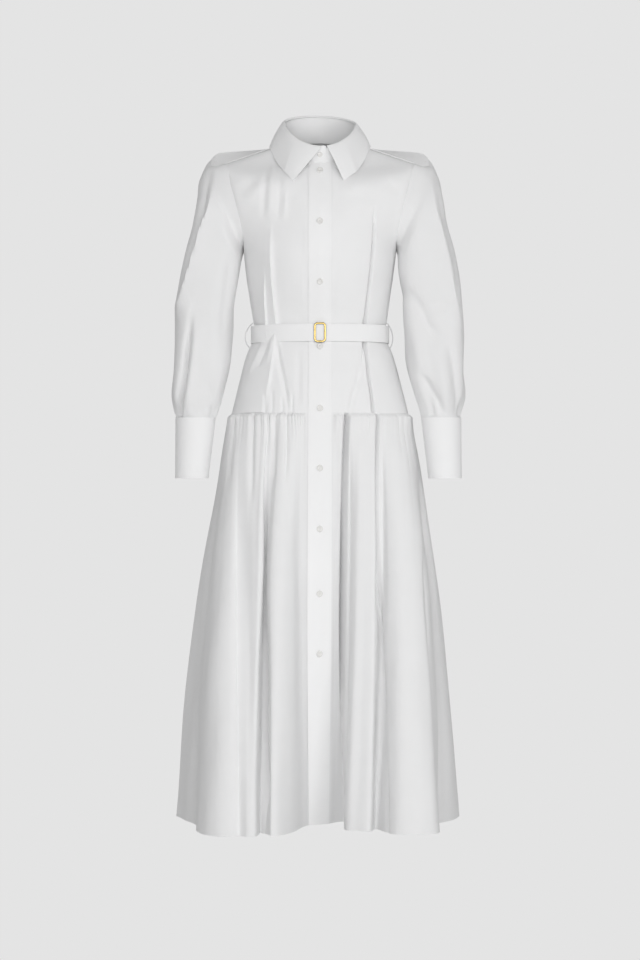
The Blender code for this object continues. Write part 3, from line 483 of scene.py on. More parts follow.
bodiceBackCreases = [
    crease((-80, -170, -83, -250, -78, -345), 4.8, 3, "dart"),
    crease((83, -165, 85, -250, 79, -345), 4.8, 3, "dart"),
    crease((-78, -345, -85, -420, -96, -500), 5, 3, "dart"),
    crease((79, -345, 86, -410, 98, -500), 5, 3, "dart"),
    crease((-40, -270, -45, -310, -35, -345), 8, 2.2),
    crease((30, -280, 36, -315, 28, -345), 8, 2),
    crease((-120, -120, -105, -180, -102, -240), 10, -2.4),
    crease((124, -115, 108, -175, 106, -230), 10, -2.6),
    crease((-55, -360, -45, -420, -50, -480), 9, -2),
    crease((50, -365, 43, -425, 47, -470), 9, -2.2),
]

tabSection = namedtuple("tabSection", "x frontY frontZ backY backZ")
tab = {
    "sections": [
        tabSection(0.0800, -0.0140, 0.0060, 0.0190, 0.0098),
        tabSection(0.1000, -0.0165, -0.0004, 0.0195, 0.0050),
        tabSection(0.1220, -0.0185, -0.0078, 0.0190, 0.0026),
        tabSection(0.1500, -0.0225, -0.0180, 0.0160, 0.0004),
        tabSection(0.1750, -0.0265, -0.0265, 0.0120, -0.0024),
        tabSection(0.1950, -0.0290, -0.0330, 0.0090, -0.0066),
        tabSection(0.2040, -0.0190, -0.0300, 0.0010, -0.0150),
    ],
    "columns": (50, 8),
    "rows": 14,
    "clear": 0.0018,
    "raiseFrom": (0.066, 0.084),
    "raiseTo": (0.226, 0.198),
    "raiseReach": 0.024,
    "raiseDepth": (-0.085, -0.050),
}


def raisedToTab(sheet):  # the shoulder comes up to the tab that lies on it
    x, y, z = np.abs(sheet[..., 0]), sheet[..., 1], sheet[..., 2]
    table = np.array(tab["sections"]).T
    frontY, frontZ, backY, backZ = (np.interp(x, table[0], row) for row in table[1:])
    target = frontZ + (backZ - frontZ) * np.clip((y - frontY) / (backY - frontY), 0, 1) - tab["clear"]
    away = np.maximum(np.maximum(frontY - y, y - backY), 0) / tab["raiseReach"]
    share = np.exp(-(away**2)) * ramp(x, *tab["raiseFrom"]) * ramp(x, *tab["raiseTo"]) * ramp(z, *tab["raiseDepth"])
    raised = sheet.copy()
    raised[..., 2] += share * np.maximum(target - z, 0)
    return raised


def armholePoint(angle, side):  # 0 degrees at the shoulder tip, 180 at the underarm
    turn = math.radians(angle)
    tip, low = np.array(bodice["shoulderTip"]), np.array(bodice["underarm"])
    depth = -bodice["armholeFront"] if side == "front" else bodice["armholeBack"]
    scoop = np.array([-bodice["armholeInset"], depth, 0.0])
    return (tip + low) / 2 + (tip - low) / 2 * math.cos(turn) + scoop * math.sin(turn)


def sectionTable(side):
    sign = -1 if side == "front" else 1
    table = []
    for section in bodice["sections"]:
        depth = section.frontDepth if side == "front" else section.backDepth
        edge = np.array([section.halfWidth, 0.0, section.z])
        table.append((section.z, sign * depth, section.z, edge, bodice["flatness"]))
    for chest in bodice["chest"]:
        middle = (chest.frontY, chest.frontZ) if side == "front" else (chest.backY, chest.backZ)
        table.append((chest.knot, *middle, armholePoint(chest.armholeAngle, side), bodice["chestFlatness"]))
    return table


def firstTurn(halfWidth):
    return math.asin(bodice["bedHalfWidth"] / halfWidth)


def shareTurns(halfWidth, shares):
    start = firstTurn(halfWidth)
    return start + (math.pi / 2 - start) * np.asarray(shares)


def sectionPoints(middleY, middleZ, edge, turns, flatness):
    near = np.maximum(np.cos(turns), 0.0)
    y = edge[1] + (middleY - edge[1]) * near**flatness
    return np.stack([edge[0] * np.sin(turns), y, edge[2] + (middleZ - edge[2]) * near**2], -1)


tipStart = firstTurn(bodice["shoulderTip"][0])
neckShare = (math.asin(bodice["neckHalfWidth"] / bodice["shoulderTip"][0]) - tipStart) / (math.pi / 2 - tipStart)


def necklinePoints(turns, side):
    middle = bodice["neckFront"] if side == "front" else bodice["neckBack"]
    near = np.maximum(np.cos(turns), 0.0)
    sideY, sideZ = bodice["neckSide"]
    y = sideY + (middle[0] - sideY) * near
    return np.stack([bodice["neckHalfWidth"] * np.sin(turns), y, sideZ + (middle[1] - sideZ) * near**1.2], -1)


def topPoints(shares, side):  # along the neckline, then along the shoulder seam to its tip
    shares = np.asarray(shares)
    start = firstTurn(bodice["neckHalfWidth"])
    neck = necklinePoints(start + (math.pi / 2 - start) * np.minimum(shares / neckShare, 1), side)
    tip, high = np.array(bodice["shoulderTip"]), np.array([bodice["neckHalfWidth"], *bodice["neckSide"]])
    x = tip[0] * np.sin(shareTurns(tip[0], shares))
    along = np.clip((x - high[0]) / (tip[0] - high[0]), 0, 1)[:, None]
    shoulder = high + (tip - high) * along
    return np.where((shares <= neckShare)[:, None], neck, shoulder)


def bodiceShares():
    neck = np.linspace(0, neckShare, bodice["neckColumns"])
    return np.concatenate([neck, np.linspace(neckShare, 1, bodice["shoulderColumns"] + 1)[1:]])


def bodiceKnots():
    hip, underarm = bodice["sections"][0].z, bodice["underarm"][2]
    lower = np.linspace(hip, underarm, round((underarm - hip) / bodice["rowStep"]) + 1)[:-1]
    marks = [underarm, *[chest.knot for chest in bodice["chest"]], bodice["topKnot"]]
    upper = np.interp(np.linspace(0, len(marks) - 1, bodice["armholeSteps"] + 1), range(len(marks)), marks)
    return np.concatenate([lower, upper]), len(lower)


def halfBodice(side, shares, knots):  # first column: the middle line of the front or back
    table = sectionTable(side)
    rows = []
    for _, middleY, middleZ, edge, flatness in table:
        turns = np.concatenate([[0.0], shareTurns(edge[0], shares)])
        rows.append(sectionPoints(middleY, middleZ, edge, turns, flatness))
    rows.append(np.concatenate([necklinePoints(np.array([0.0]), side), topPoints(shares, side)]))
    marks = [row[0] for row in table] + [bodice["topKnot"]]
    grid = throughPoints(marks, rows, knots)
    below = knots < bodice["underarm"][2]
    lower = len(bodice["sections"])
    seam = throughPoints(marks[:lower], rows[:lower], knots[below])
    blend = smoothStep((np.concatenate([[0.0], shares]) - 0.80) / 0.20)[None, :, None]
    grid[below] += (seam - grid[below]) * blend
    return grid


def withBed(middle, half):  # plain columns between the middle line and the edge of the button band's bed
    shares = np.linspace(0, 1, bodice["bedColumns"] + 1)[:-1]
    bed = np.stack([between(middle, half[:, 0], s) for s in shares], axis=1)
    return np.concatenate([bed, half], axis=1)


def lappedFronts(middle, rightBed, ownLeft, ownRight):  # the two fronts meet under the band
    share = bodice["frontsMeet"] / bodice["bedHalfWidth"]
    nudge = cloth["gap"] / bodice["bedHalfWidth"]
    under = np.stack([between(middle, rightBed, s) for s in np.linspace(share - nudge, 0, 5)[:-1]], axis=1)
    over = between(middle, rightBed, share + nudge)[:, None]
    return np.concatenate([under, ownLeft], axis=1), np.concatenate([ownRight, over], axis=1)


def buildBodice():
    shares, (knots, underarmRow) = bodiceShares(), bodiceKnots()
    bed = bodice["bedColumns"]
    halves = (halfBodice(side, shares, knots) for side in ("front", "back"))
    frontHalf, backHalf = (freshNormals(withBed(half[:, 0], half[:, 1:])) for half in halves)
    # both panels take the same normals at the side seam and the shoulder seam
    for index in ((slice(0, underarmRow + 1), -1), (-1, slice(bed + bodice["neckColumns"] - 1, None))):
        frontHalf[index][..., 3:] = unit(frontHalf[index][..., 3:] + backHalf[index][..., 3:])
        backHalf[index][..., 3:] = frontHalf[index][..., 3:]
    frontHalf[:, 0, 3] = backHalf[:, 0, 3] = 0
    leftBack = backHalf[:, ::-1]  # from the left side seam to the middle of the back
    backWhole = np.concatenate([leftBack, mirrored(leftBack)[:, 1:]], axis=1)
    made = []
    for sheet, edges, creases, seed in (
        (frontHalf, ("end", "top"), bodiceFrontCreases, 3.1),
        (mirrored(frontHalf), ("start", "top"), bodiceFrontCreases, 3.1),
        (backWhole, ("start", "end", "top"), bodiceBackCreases, 7.7),
    ):
        hold = smoothStep(borderDistance(sheet, edges) / bodice["seamHold"])
        if sheet is not backWhole:
            hold *= smoothStep((np.abs(sheet[..., 0]) - bodice["bedHalfWidth"]) / bodice["bedHold"])
        heights = (creaseHeights(sheet[..., [0, 2]], creases) + rumple(sheet, bodice["swell"], seed)) * hold
        made.append(freshenInside(raisedToTab(lifted(sheet, heights)), sheet))
    frontLeft, frontRight, backWhole = made
    rightBed = frontRight[:, -bed - 1]
    left, right = lappedFronts(frontLeft[:, 0], rightBed, frontLeft, frontRight[:, :-bed])
    clothPiece("frontLeft", left, bodicePaintedLightPoplin, ("bottom", "top", "end"))
    clothPiece("frontRight", right, bodicePaintedLightPoplin, ("bottom", "top", "start"))
    clothPiece("back", backWhole[:, ::2], bodicePaintedLightPoplin, ("bottom", "top", "start", "end"))
    armhole = frontLeft[underarmRow:, -1, :3], backWhole[underarmRow:, 0, :3]
    return (rightBed, frontLeft[:, 0], frontLeft[:, bed]), armhole


def freshenInside(sheet, base):  # new normals inside, the old shared ones on the borders
    fresh = freshNormals(sheet)
    for border, _ in borders.values():
        fresh[border][..., 3:] = base[border][..., 3:]
    return fresh


bodiceBed, armholeEdges = buildBodice()  # the bed: the band's right edge, middle and left edge
print("bodice made")

# sleeves and cuffs

sleeveRing = namedtuple("sleeveRing", "knot outerX outerZ innerX innerZ middleY halfDepth")
sleeve = {
    "rings": [
        sleeveRing(0.000, 0.2695, -0.504, 0.1945, -0.504, -0.041, 0.0375),
        sleeveRing(0.012, 0.2712, -0.492, 0.1922, -0.492, -0.040, 0.0400),
        sleeveRing(0.042, 0.2765, -0.464, 0.1840, -0.466, -0.036, 0.0490),
        sleeveRing(0.090, 0.2745, -0.415, 0.1705, -0.417, -0.028, 0.0590),
        sleeveRing(0.160, 0.2725, -0.340, 0.1650, -0.352, -0.018, 0.0640),
        sleeveRing(0.235, 0.2665, -0.258, 0.1610, -0.292, -0.010, 0.0670),
        sleeveRing(0.290, 0.2510, -0.190, 0.1545, -0.246, -0.006, 0.0710),
        sleeveRing(0.335, 0.2385, -0.138, 0.1505, -0.220, -0.004, 0.0745),
        sleeveRing(0.378, 0.2295, -0.090, 0.1480, -0.205, -0.003, 0.0765),
        sleeveRing(0.413, 0.2230, -0.054, 0.1455, -0.196, -0.001, 0.0755),
        sleeveRing(0.436, 0.2100, -0.034, 0.1440, -0.192, 0.001, 0.0720),
    ],
    "topKnot": 0.460,
    "rowStep": 0.0034,
    "leftSwing": 0.006,
    "swingDepth": 0.220,
    "square": 0.115,
    "squareFrom": (0.010, 0.090),
    "squareTo": (0.436, 0.370),
    "swell": {"height": 0.0040, "scale": 0.060, "stretch": (1.0, 1.0, 1.3)},
    "pleat": {"height": 0.0026, "count": 9, "phase": 0.6, "sway": 0.9, "floor": -0.4, "start": 0.006, "reach": 0.045},
    "frontFade": (0.8, 2.5),
    "behind": {"moved": (0.004, 0.012), "from": 0.2, "share": 0.8},
    "seamHold": (0.004, 0.012),
}
cuff = {
    "hem": sleeveRing(-0.113, 0.2695, -0.617, 0.2075, -0.617, -0.055, 0.0315),
    "opensAt": 60.0,
    "overlap": 28.0,
    "columns": 130,
    "rows": 34,
    "lapRise": 0.0020,
    "lapTurn": 24.0,
}


def ringPoints(ring, angles, swing):  # squarer than an ellipse between cuff and shoulder
    turns = np.radians(angles)[:, None]
    share = ramp(ring.knot, *sleeve["squareFrom"]) * ramp(ring.knot, *sleeve["squareTo"])
    square = 1 + sleeve["square"] * share * np.sin(2 * turns) ** 2
    nearer = swing * np.clip((bodice["underarm"][2] - ring.outerZ) / sleeve["swingDepth"], 0, 1)
    outer = np.array([ring.outerX - nearer, ring.middleY, ring.outerZ])
    inner = np.array([ring.innerX - nearer, ring.middleY, ring.innerZ])
    spread = (outer - inner) / 2 * np.cos(turns) + np.array([0.0, ring.halfDepth, 0.0]) * np.sin(turns)
    return (outer + inner) / 2 + spread * square


sleeveCreases = {  # seen from the front, with x away from the middle of the dress
    "Right": [
        crease((190, -20, 206.7, -117.5, 217, -151, 232.7, -205, 259, -290, 268, -340), 9, 10.5, "ridge"),
        crease((203, -20, 219.7, -117.5, 230, -151, 245, -205, 271, -290), 7.5, -12),
        crease((238, -300, 243, -360, 250, -421, 260, -480, 270, -560, 274, -640), 5.6, -16.5),
        crease((228, -310, 232, -360, 239, -421, 248, -490, 256, -560), 11, 5),
        crease((160, -190, 170, -245, 178, -310, 183, -400), 8, -4),
        crease((268, -280, 250, -300, 235, -305), 14, 2.8),
        crease((212, -430, 202, -470, 199, -530), 6, -2.6),
        crease((186, -400, 188, -450, 200, -520), 8, 3),
    ],
    "Left": [
        crease((203, -20, 212, -105, 225, -158, 241, -222, 247, -270, 258, -335, 261, -400), 6, 5, "ridge"),
        crease((209, -20, 224, -105, 237, -158, 253, -222, 256, -290), 6, -4),
        crease((150, -225, 160, -262, 174, -286, 188, -306, 201, -334, 215, -352, 238, -376), 9.5, -7.2),
        crease((150, -190, 156, -240, 164, -290, 173, -340, 186, -400, 198, -450), 13, 7),
        crease((190, -298, 206, -304, 225, -302, 240, -298), 8, -2.2),
        crease((233, -345, 248, -411, 260, -500, 266, -580), 9, -6.5),
        crease((205, -360, 218, -395, 228, -442, 230, -480), 13, 5),
        crease((180, -415, 195, -437, 213, -466, 228, -495, 235, -520), 7.5, -7),
        crease((188, -430, 202, -480, 208, -540), 8, -6),
    ],
}


def buildSleeves(frontEdge, backEdge):
    armhole = np.concatenate([backEdge[::-1], frontEdge[1:-1]])
    angles = np.arange(len(armhole)) * 360.0 / len(armhole)
    turns = np.radians(angles)
    pleat, behind, (full, rate) = sleeve["pleat"], sleeve["behind"], sleeve["frontFade"]
    wave = np.cos(turns * pleat["count"] + pleat["phase"] + pleat["sway"] * np.sin(turns * 2))
    pleats = np.maximum(wave, pleat["floor"])[None]
    knots = np.linspace(0, sleeve["topKnot"], round(sleeve["topKnot"] / sleeve["rowStep"]) + 1)
    marks = [ring.knot for ring in sleeve["rings"]] + [sleeve["topKnot"]]
    for side, swing, seed in (("Left", sleeve["leftSwing"], 11.3), ("Right", 0.0, 17.9)):
        rings = [ringPoints(ring, angles, swing) for ring in sleeve["rings"]]
        sheet = freshNormals(throughPoints(marks, [*rings, armhole], knots), ring=True)
        up, facing, places = arcLengths(sheet, 0), sheet[..., 4] * rate, sheet[..., [0, 2]]
        heights = creaseHeights(places, sleeveCreases[side]) * np.clip(full - facing, 0, 1)
        # the back has like creases, a little lower
        likewise = creaseHeights(places + np.array(behind["moved"]), sleeveCreases[side])
        heights += likewise * np.clip(facing - behind["from"], 0, 1) * behind["share"]
        heights += pleat["height"] * pleats * smoothStep(up / pleat["start"]) * np.exp(-up / pleat["reach"])
        heights += rumple(sheet, sleeve["swell"], seed)
        low, high = sleeve["seamHold"]
        heights *= smoothStep(up / low) * smoothStep((up[-1:] - up) / high)
        sheet = freshNormals(raisedToTab(lifted(sheet, heights)), ring=True)
        clothPiece(f"sleeve{side}", ownSide(sheet, side), whitePoplin, ("bottom", "top"), ring=True)


def cuffSheet(swing):
    angles = cuff["opensAt"] + np.linspace(0, 360.0 + cuff["overlap"], cuff["columns"])
    top, hem = ringPoints(sleeve["rings"][0], angles, swing), ringPoints(cuff["hem"], angles, swing)
    grid = np.array([between(hem, top, s) for s in np.linspace(0, 1, cuff["rows"])])
    outward = unit((grid - grid[:, :-9].mean(axis=1, keepdims=True)) * (1, 1, 0))
    lapEnd = cuff["opensAt"] + 360.0
    rise = ramp(angles, lapEnd - cuff["lapTurn"], lapEnd) * cuff["lapRise"]
    return np.concatenate([grid + outward * rise[None, :, None], outward], axis=2)


def buildCuffs():
    for side, swing in (("Left", sleeve["leftSwing"]), ("Right", 0.0)):
        clothPiece(f"cuff{side}", ownSide(cuffSheet(swing), side), doubledPoplin, ("top",), thick=cloth["firmThick"])


buildSleeves(*armholeEdges)
buildCuffs()
print("sleeves made")

# the skirt

fold = namedtuple("fold", "seamAngle hemX hemY")


def foldTable(*rows):  # degrees round the seam, then the place on the hem in millimetres
    return [fold(angle, x / 1000, y / 1000) for angle, x, y in rows]


skirtCreases = [  # on the front
    crease((48.4, -400, 48.2, -500, 45.2, -690, 43.2, -900, 43, -1100), 3.2, -24),
    crease((56, -400, 56, -500, 52, -690, 50, -950), 6, 3),
    crease((45, -400, 43.6, -660, 43, -880, 43, -1180, 43.3, -1500), 7.5, -12, "lip"),
    crease((104, -340, 104.5, -500, 105.2, -650, 106.8, -800, 110, -900), 2.2, -15),
    crease((107.6, -700, 110, -800, 114, -890, 117.2, -1000, 120.6, -1180, 124, -1500), 7.5, -13, "lip"),
    crease((176.6, -540, 186.7, -662, 191, -848, 209, -1060, 218, -1220, 223, -1400), 5, -6),
    crease((-95.4, -430, -98.7, -600, -99.9, -729, -100.8, -837, -101.2, -1000, -100.3, -1120, -98.7, -1260, -98.5,
            -1500), 2.6, -16),
    crease((-98.5, -1560, -98.5, -1260, -100.3, -1100, -101, -960, -100.5, -800), 8.5, -11, "lip"),
    crease((-106, -520, -108, -700, -109, -900, -108, -1150), 6, 3),
    crease((-78.9, -430, -84, -560, -88, -640), 3.6, -5),
    crease((-140.5, -540, -136, -837, -130.8, -1015, -129, -1200), 13, -6),
    crease((-62, -440, -61, -560, -64, -640), 3.4, -4.2),
    crease((-119, -440, -123, -560, -124, -680), 4, -4.5),
    crease((-150, -440, -158, -560, -164, -640), 4.5, -4),
]
skirt = {
    "hemZ": -1.252,
    "frontLeft": foldTable(
        (14.5, 30, -94), (18.5, 46.5, -98), (22, 43.5, -155), (26, 47, -202), (31, 67, -214),
        (35.5, 89, -220), (39, 95.5, -190), (42.5, 105, -190), (46.5, 117, -232), (52.5, 135, -260),
        (59, 159, -268), (65.5, 188, -263), (71.5, 209, -243), (76.5, 217, -185), (81, 220, -110),
        (85.5, 247, -60), (90, 260.5, 0),
    ),
    "frontRight": foldTable(
        (-12.5, -35, -172), (-16.5, -48, -235), (-21.5, -72, -278), (-26.5, -93.5, -282),
        (-29.5, -101.5, -248), (-32.5, -108, -244), (-37, -113.5, -286), (-47, -128, -292),
        (-57, -143, -280), (-63, -160, -290), (-69, -186, -284), (-75, -208, -258), (-79, -222, -200),
        (-82, -228, -130), (-86, -250, -62), (-90, -271, 0),
    ),
    "back": foldTable(
        (99, 259, 55), (107, 235, 95), (114, 216, 125), (121, 218, 185), (128, 188, 235),
        (135, 150, 248), (142, 123, 215), (149, 106, 185), (156, 90, 225), (163, 64, 275),
        (171, 30, 285), (178, 6, 245), (185, -10, 215), (192, -32, 255), (200, -64, 285),
        (208, -98, 275), (215, -120, 235), (222, -134, 200), (229, -160, 225), (237, -198, 222),
        (245, -220, 170), (253, -223, 115), (262, -256, 60),
    ),
    "bandHem": ((-0.0225, -0.1340), (0.0165, -0.1080)),
    "bulge": 0.012,
    "hemSpread": 0.80,
    "swell": {"height": 0.0045, "scale": 0.060, "stretch": (1.0, 1.0, 4.0), "seed": 23.7, "start": 0.05},
    "frontColumns": 16,
    "backColumns": 9,
    "gatherRows": 44,
    "gatherDepth": 0.120,
    "lowerRows": 54,
    "foldSpan": 2.75,
    "gathers": [
        {"spacing": (0.0042, 0.0095), "height": 0.0060, "reach": (0.010, 0.036), "seed": 5},
        {"spacing": (0.0130, 0.0300), "height": 0.0046, "reach": (0.040, 0.130), "seed": 12},
    ],
    "gatherDepths": (0.15, 1.25),
    "gatherFloor": 0.55,
    "gatherStart": 0.005,
    "gatherBehind": 0.8,
    "gatherStrength": (  # along the seam in front
        (-0.17, 1.0), (-0.13, 1.0), (-0.05, 1.1), (-0.02, 0.6), (0.02, 0.5), (0.05, 0.6), (0.08, 0.35), (0.12, 0.4),
        (0.17, 0.8),
    ),
    "puff": {"height": 0.0060, "start": 0.010, "reach": 0.055},
    "corner": {"height": 0.009, "x": 0.146, "width": 0.018, "start": 0.10, "fade": (0.76, 0.51)},
    "creaseStart": 0.006,
    "bedHold": 0.008,
}


def seamPoint(angle):
    hip = bodice["sections"][0]
    near = math.cos(math.radians(angle))
    depth = -hip.frontDepth if near > 0 else hip.backDepth
    return np.array([hip.halfWidth * math.sin(math.radians(angle)), depth * abs(near) ** bodice["flatness"], hip.z])


def smoothFolds(folds, perFold, first=None, last=None):  # each row: seam point, hem point, place in folds
    rows = [(*seamPoint(f.seamAngle), f.hemX, f.hemY, skirt["hemZ"]) for f in folds]
    rows = [row for row in (first, *rows, last) if row is not None]
    at = np.linspace(0, len(rows) - 1, (len(rows) - 1) * perFold + 1)
    return np.concatenate([throughPoints(range(len(rows)), rows, at), at[:, None]], axis=1)


def bedPairs():
    hip = bodice["sections"][0]
    edge, turn = np.array([hip.halfWidth, 0, hip.z]), np.array([firstTurn(hip.halfWidth)])
    left = sectionPoints(-hip.frontDepth, hip.z, edge, turn, bodice["flatness"])[0]
    middle = np.array([0.0, -hip.frontDepth, hip.z])
    right = left * (-1, 1, 1)
    hemRight, hemLeft = (np.array([*p, skirt["hemZ"]]) for p in skirt["bandHem"])
    hems = (hemRight, (hemRight + hemLeft) / 2, hemLeft)
    return [np.concatenate(pair) for pair in zip((right, middle, left), hems)]


def skirtShares():
    length = bodice["sections"][0].z - skirt["hemZ"]
    upper = skirt["gatherDepth"] / length
    near = upper * np.linspace(0, 1, skirt["gatherRows"] + 1) ** 1.5
    far = np.linspace(upper, 1, skirt["lowerRows"] + 1)[1:]
    return np.concatenate([near, far])[::-1]  # rows run upwards from the hem


def gatherField(seamArc, below, given):  # small uneven gathers that die out below the seam
    rng = random.Random(given["seed"])
    marks, reaches, depths = [0.0], [], []
    while marks[-1] < seamArc[-1]:
        marks.append(marks[-1] + rng.uniform(*given["spacing"]))
        reaches.append(rng.uniform(*given["reach"]))
        depths.append(rng.uniform(*skirt["gatherDepths"]))
    marks, reaches, depths = np.array(marks), np.array(reaches), np.array(depths)
    i = np.clip(np.searchsorted(marks, seamArc, side="right") - 1, 0, len(reaches) - 1)
    t = (seamArc - marks[i]) / (marks[i + 1] - marks[i])
    after = np.minimum(i + 1, len(reaches) - 1)
    bump = np.sqrt(np.maximum(np.sin(np.pi * t), 0)) - skirt["gatherFloor"]
    reach, depth = (between(v[i], v[after], smoothStep(t)) for v in (reaches, depths))
    fade = smoothStep(below / skirt["gatherStart"]) * np.exp(-below / reach[None])
    return given["height"] * (depth * bump)[None] * fade


def skirtRing():  # every column from the middle round to the middle: seam point, hem point, place in folds
    rightBed, middleBed, leftBed = bedPairs()
    frontLeft = smoothFolds(skirt["frontLeft"], skirt["frontColumns"], first=leftBed)
    back = smoothFolds([*skirt["back"], skirt["frontRight"][-1]], skirt["backColumns"], first=frontLeft[-1, :6])
    frontRight = smoothFolds(skirt["frontRight"][::-1], skirt["frontColumns"], last=rightBed)
    bedStep = 1 / bodice["bedColumns"]
    bedShares = np.linspace(0, 1, bodice["bedColumns"] + 1)[:-1]
    bedLeft = np.array([np.append(between(middleBed, leftBed, s), s) for s in bedShares])
    bedRight = np.array([np.append(between(rightBed, middleBed, s), s) for s in bedShares])[1:]
    stretches = [bedLeft, frontLeft, back[1:], frontRight[1:], bedRight]
    for earlier, later in zip(stretches[:-1], stretches[1:]):
        later[:, 6] += earlier[-1, 6] + (bedStep if earlier is bedLeft else 0)
    leftSeam = len(bedLeft) + len(frontLeft) - 1
    ends = len(bedLeft), leftSeam, leftSeam + len(back) - 1, sum(map(len, stretches)) - len(bedRight) - 1
    return np.concatenate(stretches), ends


def hangingGrid(ring):  # the folds widen from the seam down
    place, total = ring[:, 6], ring[-1, 6] + 1 / bodice["bedColumns"]
    apart = np.abs(place[:, None] - place[None])
    apart = np.minimum(apart, total - apart) / skirt["foldSpan"]
    weights = np.where(apart < 1, 1 + np.cos(np.pi * apart), 0) * np.gradient(place)[None]
    smoothHem = ring[:, 3:6].copy()
    smoothHem[:, :2] = weights @ ring[:, 3:5] / weights.sum(axis=1, keepdims=True)
    shares = skirtShares()[:, None, None]
    spread = (ring[:, 3:6] - smoothHem) * shares ** skirt["hemSpread"]
    grid = ring[None, :, :3] + (smoothHem - ring[:, :3]) * shares + spread
    grid[..., :2] += unit(grid[..., :2]) * np.sin(np.pi * shares) * skirt["bulge"]
    return freshNormals(grid, ring=True)


def buildSkirt():
    ring, (leftBed, leftSeam, rightSeam, rightBed) = skirtRing()
    sheet = hangingGrid(ring)
    seamArc = np.concatenate([[0], np.cumsum(np.linalg.norm(np.diff(ring[:, :3], axis=0), axis=1))])
    front, seamX = sheet[-1, :, 1] < 0, sheet[-1, :, 0]
    below = arcLengths(sheet[::-1], 0)[::-1]
    swell, puff, corner = skirt["swell"], skirt["puff"], skirt["corner"]
    strength = np.where(front, np.interp(seamX, *zip(*skirt["gatherStrength"])), skirt["gatherBehind"])
    heights = sum(gatherField(seamArc, below, given) for given in skirt["gathers"]) * strength[None]
    heights += puff["height"] * smoothStep(below / puff["start"]) * np.exp(-below / puff["reach"])
    inFront = np.clip(-sheet[..., 4] * 3, 0, 1) * (sheet[..., 1] < 0) * smoothStep(below / skirt["creaseStart"])
    heights += creaseHeights(sheet[..., [0, 2]], skirtCreases) * inFront
    nearCorner = np.where(front, np.exp(-(((np.abs(seamX) - corner["x"]) / corner["width"]) ** 2)), 0)[None]
    heights += corner["height"] * nearCorner * smoothStep(below / corner["start"]) * ramp(below, *corner["fade"])
    heights += rumple(sheet, swell, swell["seed"]) * smoothStep(below / swell["start"])
    hold = np.where(front, smoothStep((np.abs(seamX) - bodice["bedHalfWidth"]) / skirt["bedHold"]), 1.0)
    sheet = freshNormals(lifted(sheet, heights * hold[None]), ring=True)
    middle, rightEdge = sheet[:, 0], sheet[:, rightBed]
    left, right = lappedFronts(middle, rightEdge, sheet[:, : leftSeam + 1], sheet[:, rightSeam : rightBed + 1])
    clothPiece("skirtFrontLeft", left, skirtPaintedLightPoplin, ("top", "end"))
    clothPiece("skirtFrontRight", right, skirtPaintedLightPoplin, ("top", "start"))
    clothPiece("skirtBack", sheet[:, leftSeam : rightSeam + 1], skirtPaintedLightPoplin, ("top", "start", "end"))
    return rightEdge, middle, sheet[:, leftBed]


skirtBed = buildSkirt()
print("skirt made")

# the button band

band = {"halfWidth": 0.0210, "columns": 13, "topDrop": 0.0032}


def buildBand():
    rightEdge, middle, leftEdge = (np.concatenate([low[:-1], high]) for high, low in zip(bodiceBed, skirtBed))
    share = band["halfWidth"] / bodice["bedHalfWidth"]
    shares = np.linspace(-share, share, band["columns"])
    columns = [between(middle, leftEdge if s > 0 else rightEdge, abs(s)) for s in shares]
    sheet = freshNormals(np.stack(columns, axis=1))
    sheet = lifted(sheet, np.full(sheet.shape[:2], cloth["wallInFrame"] + cloth["gap"]))
    keep = sheet[:, band["columns"] // 2, 2] < sheet[..., 2].max() - band["topDrop"]
    clothPiece("buttonBand", sheet[keep], doubledPoplin)


buildBand()
print("band made")

# shoulder tabs and collar


def buildTabs():
    sections = tab["sections"]
    knots = [s.x for s in sections]
    most, last = tab["columns"]
    at = np.concatenate([np.linspace(knots[0], knots[-2], most), np.linspace(knots[-2], knots[-1], last)[1:]])
    front = throughPoints(knots, [(s.x, s.frontY, s.frontZ) for s in sections], at)
    back = throughPoints(knots, [(s.x, s.backY, s.backZ) for s in sections], at)
    sheet = freshNormals(np.array([between(front, back, s) for s in np.linspace(0, 1, tab["rows"])]))
    for side in ("Left", "Right"):
        clothPiece(f"shoulderTab{side}", ownSide(sheet, side), doubledPoplin, thick=cloth["firmThick"])


buildTabs()
print("tabs made")

leafEdgePoint = namedtuple("leafEdgePoint", "angle x y z")
collar = {
    "standHalfWidth": 0.0655,
    "standFront": (-0.0815, -0.0060),
    "standSide": (0.000, 0.047),
    "standBack": (0.060, 0.0688),
    "rightRise": 0.0040,
    "overlap": 0.011,
    "footShare": 0.06,
    "footOut": 0.0026,
    "footDrop": 0.0045,
    "endRise": 0.0050,
    "standRows": 14,
    "standColumns": 145,
    "frontSharpness": 6,
    "behindFade": (0.6, 2),
    "lapBack": 0.0021,
    "underLap": (1.0, 1.0, 1.0, 1.0, 0.95, 0.8, 0.55, 0.25),
    "backDrop": 0.0120,
    "backIn": 0.0016,
    "leafClear": (0.0019, 0.0026),
    "leafHold": 0.0020,
    "leafColumns": 190,
    "leafRows": (20, 10),
    "leafMarks": (0, 0.28, 0.6, 1.0, 1.16, 1.3, 1.42),
    "leafEdge": [
        leafEdgePoint(38.0, 0.0680, -0.0900, -0.0430),
        leafEdgePoint(65.0, 0.0865, -0.0500, -0.0120),
        leafEdgePoint(90.0, 0.0960, -0.0030, 0.0080),
        leafEdgePoint(125.0, 0.0860, 0.0570, 0.0110),
        leafEdgePoint(155.0, 0.0480, 0.0860, 0.0140),
        leafEdgePoint(180.0, 0.0000, 0.0960, 0.0160),
    ],
    "pointLeft": (0.0440, -0.1050, -0.0670),
    "pointRight": (-0.0500, -0.1055, -0.0675),
    "leafStartX": 0.0125,
    "leafEndX": 0.0030,
    "foldRise": 0.0042,
    "foldWidth": 0.0045,
    "bow": 0.0025,
}


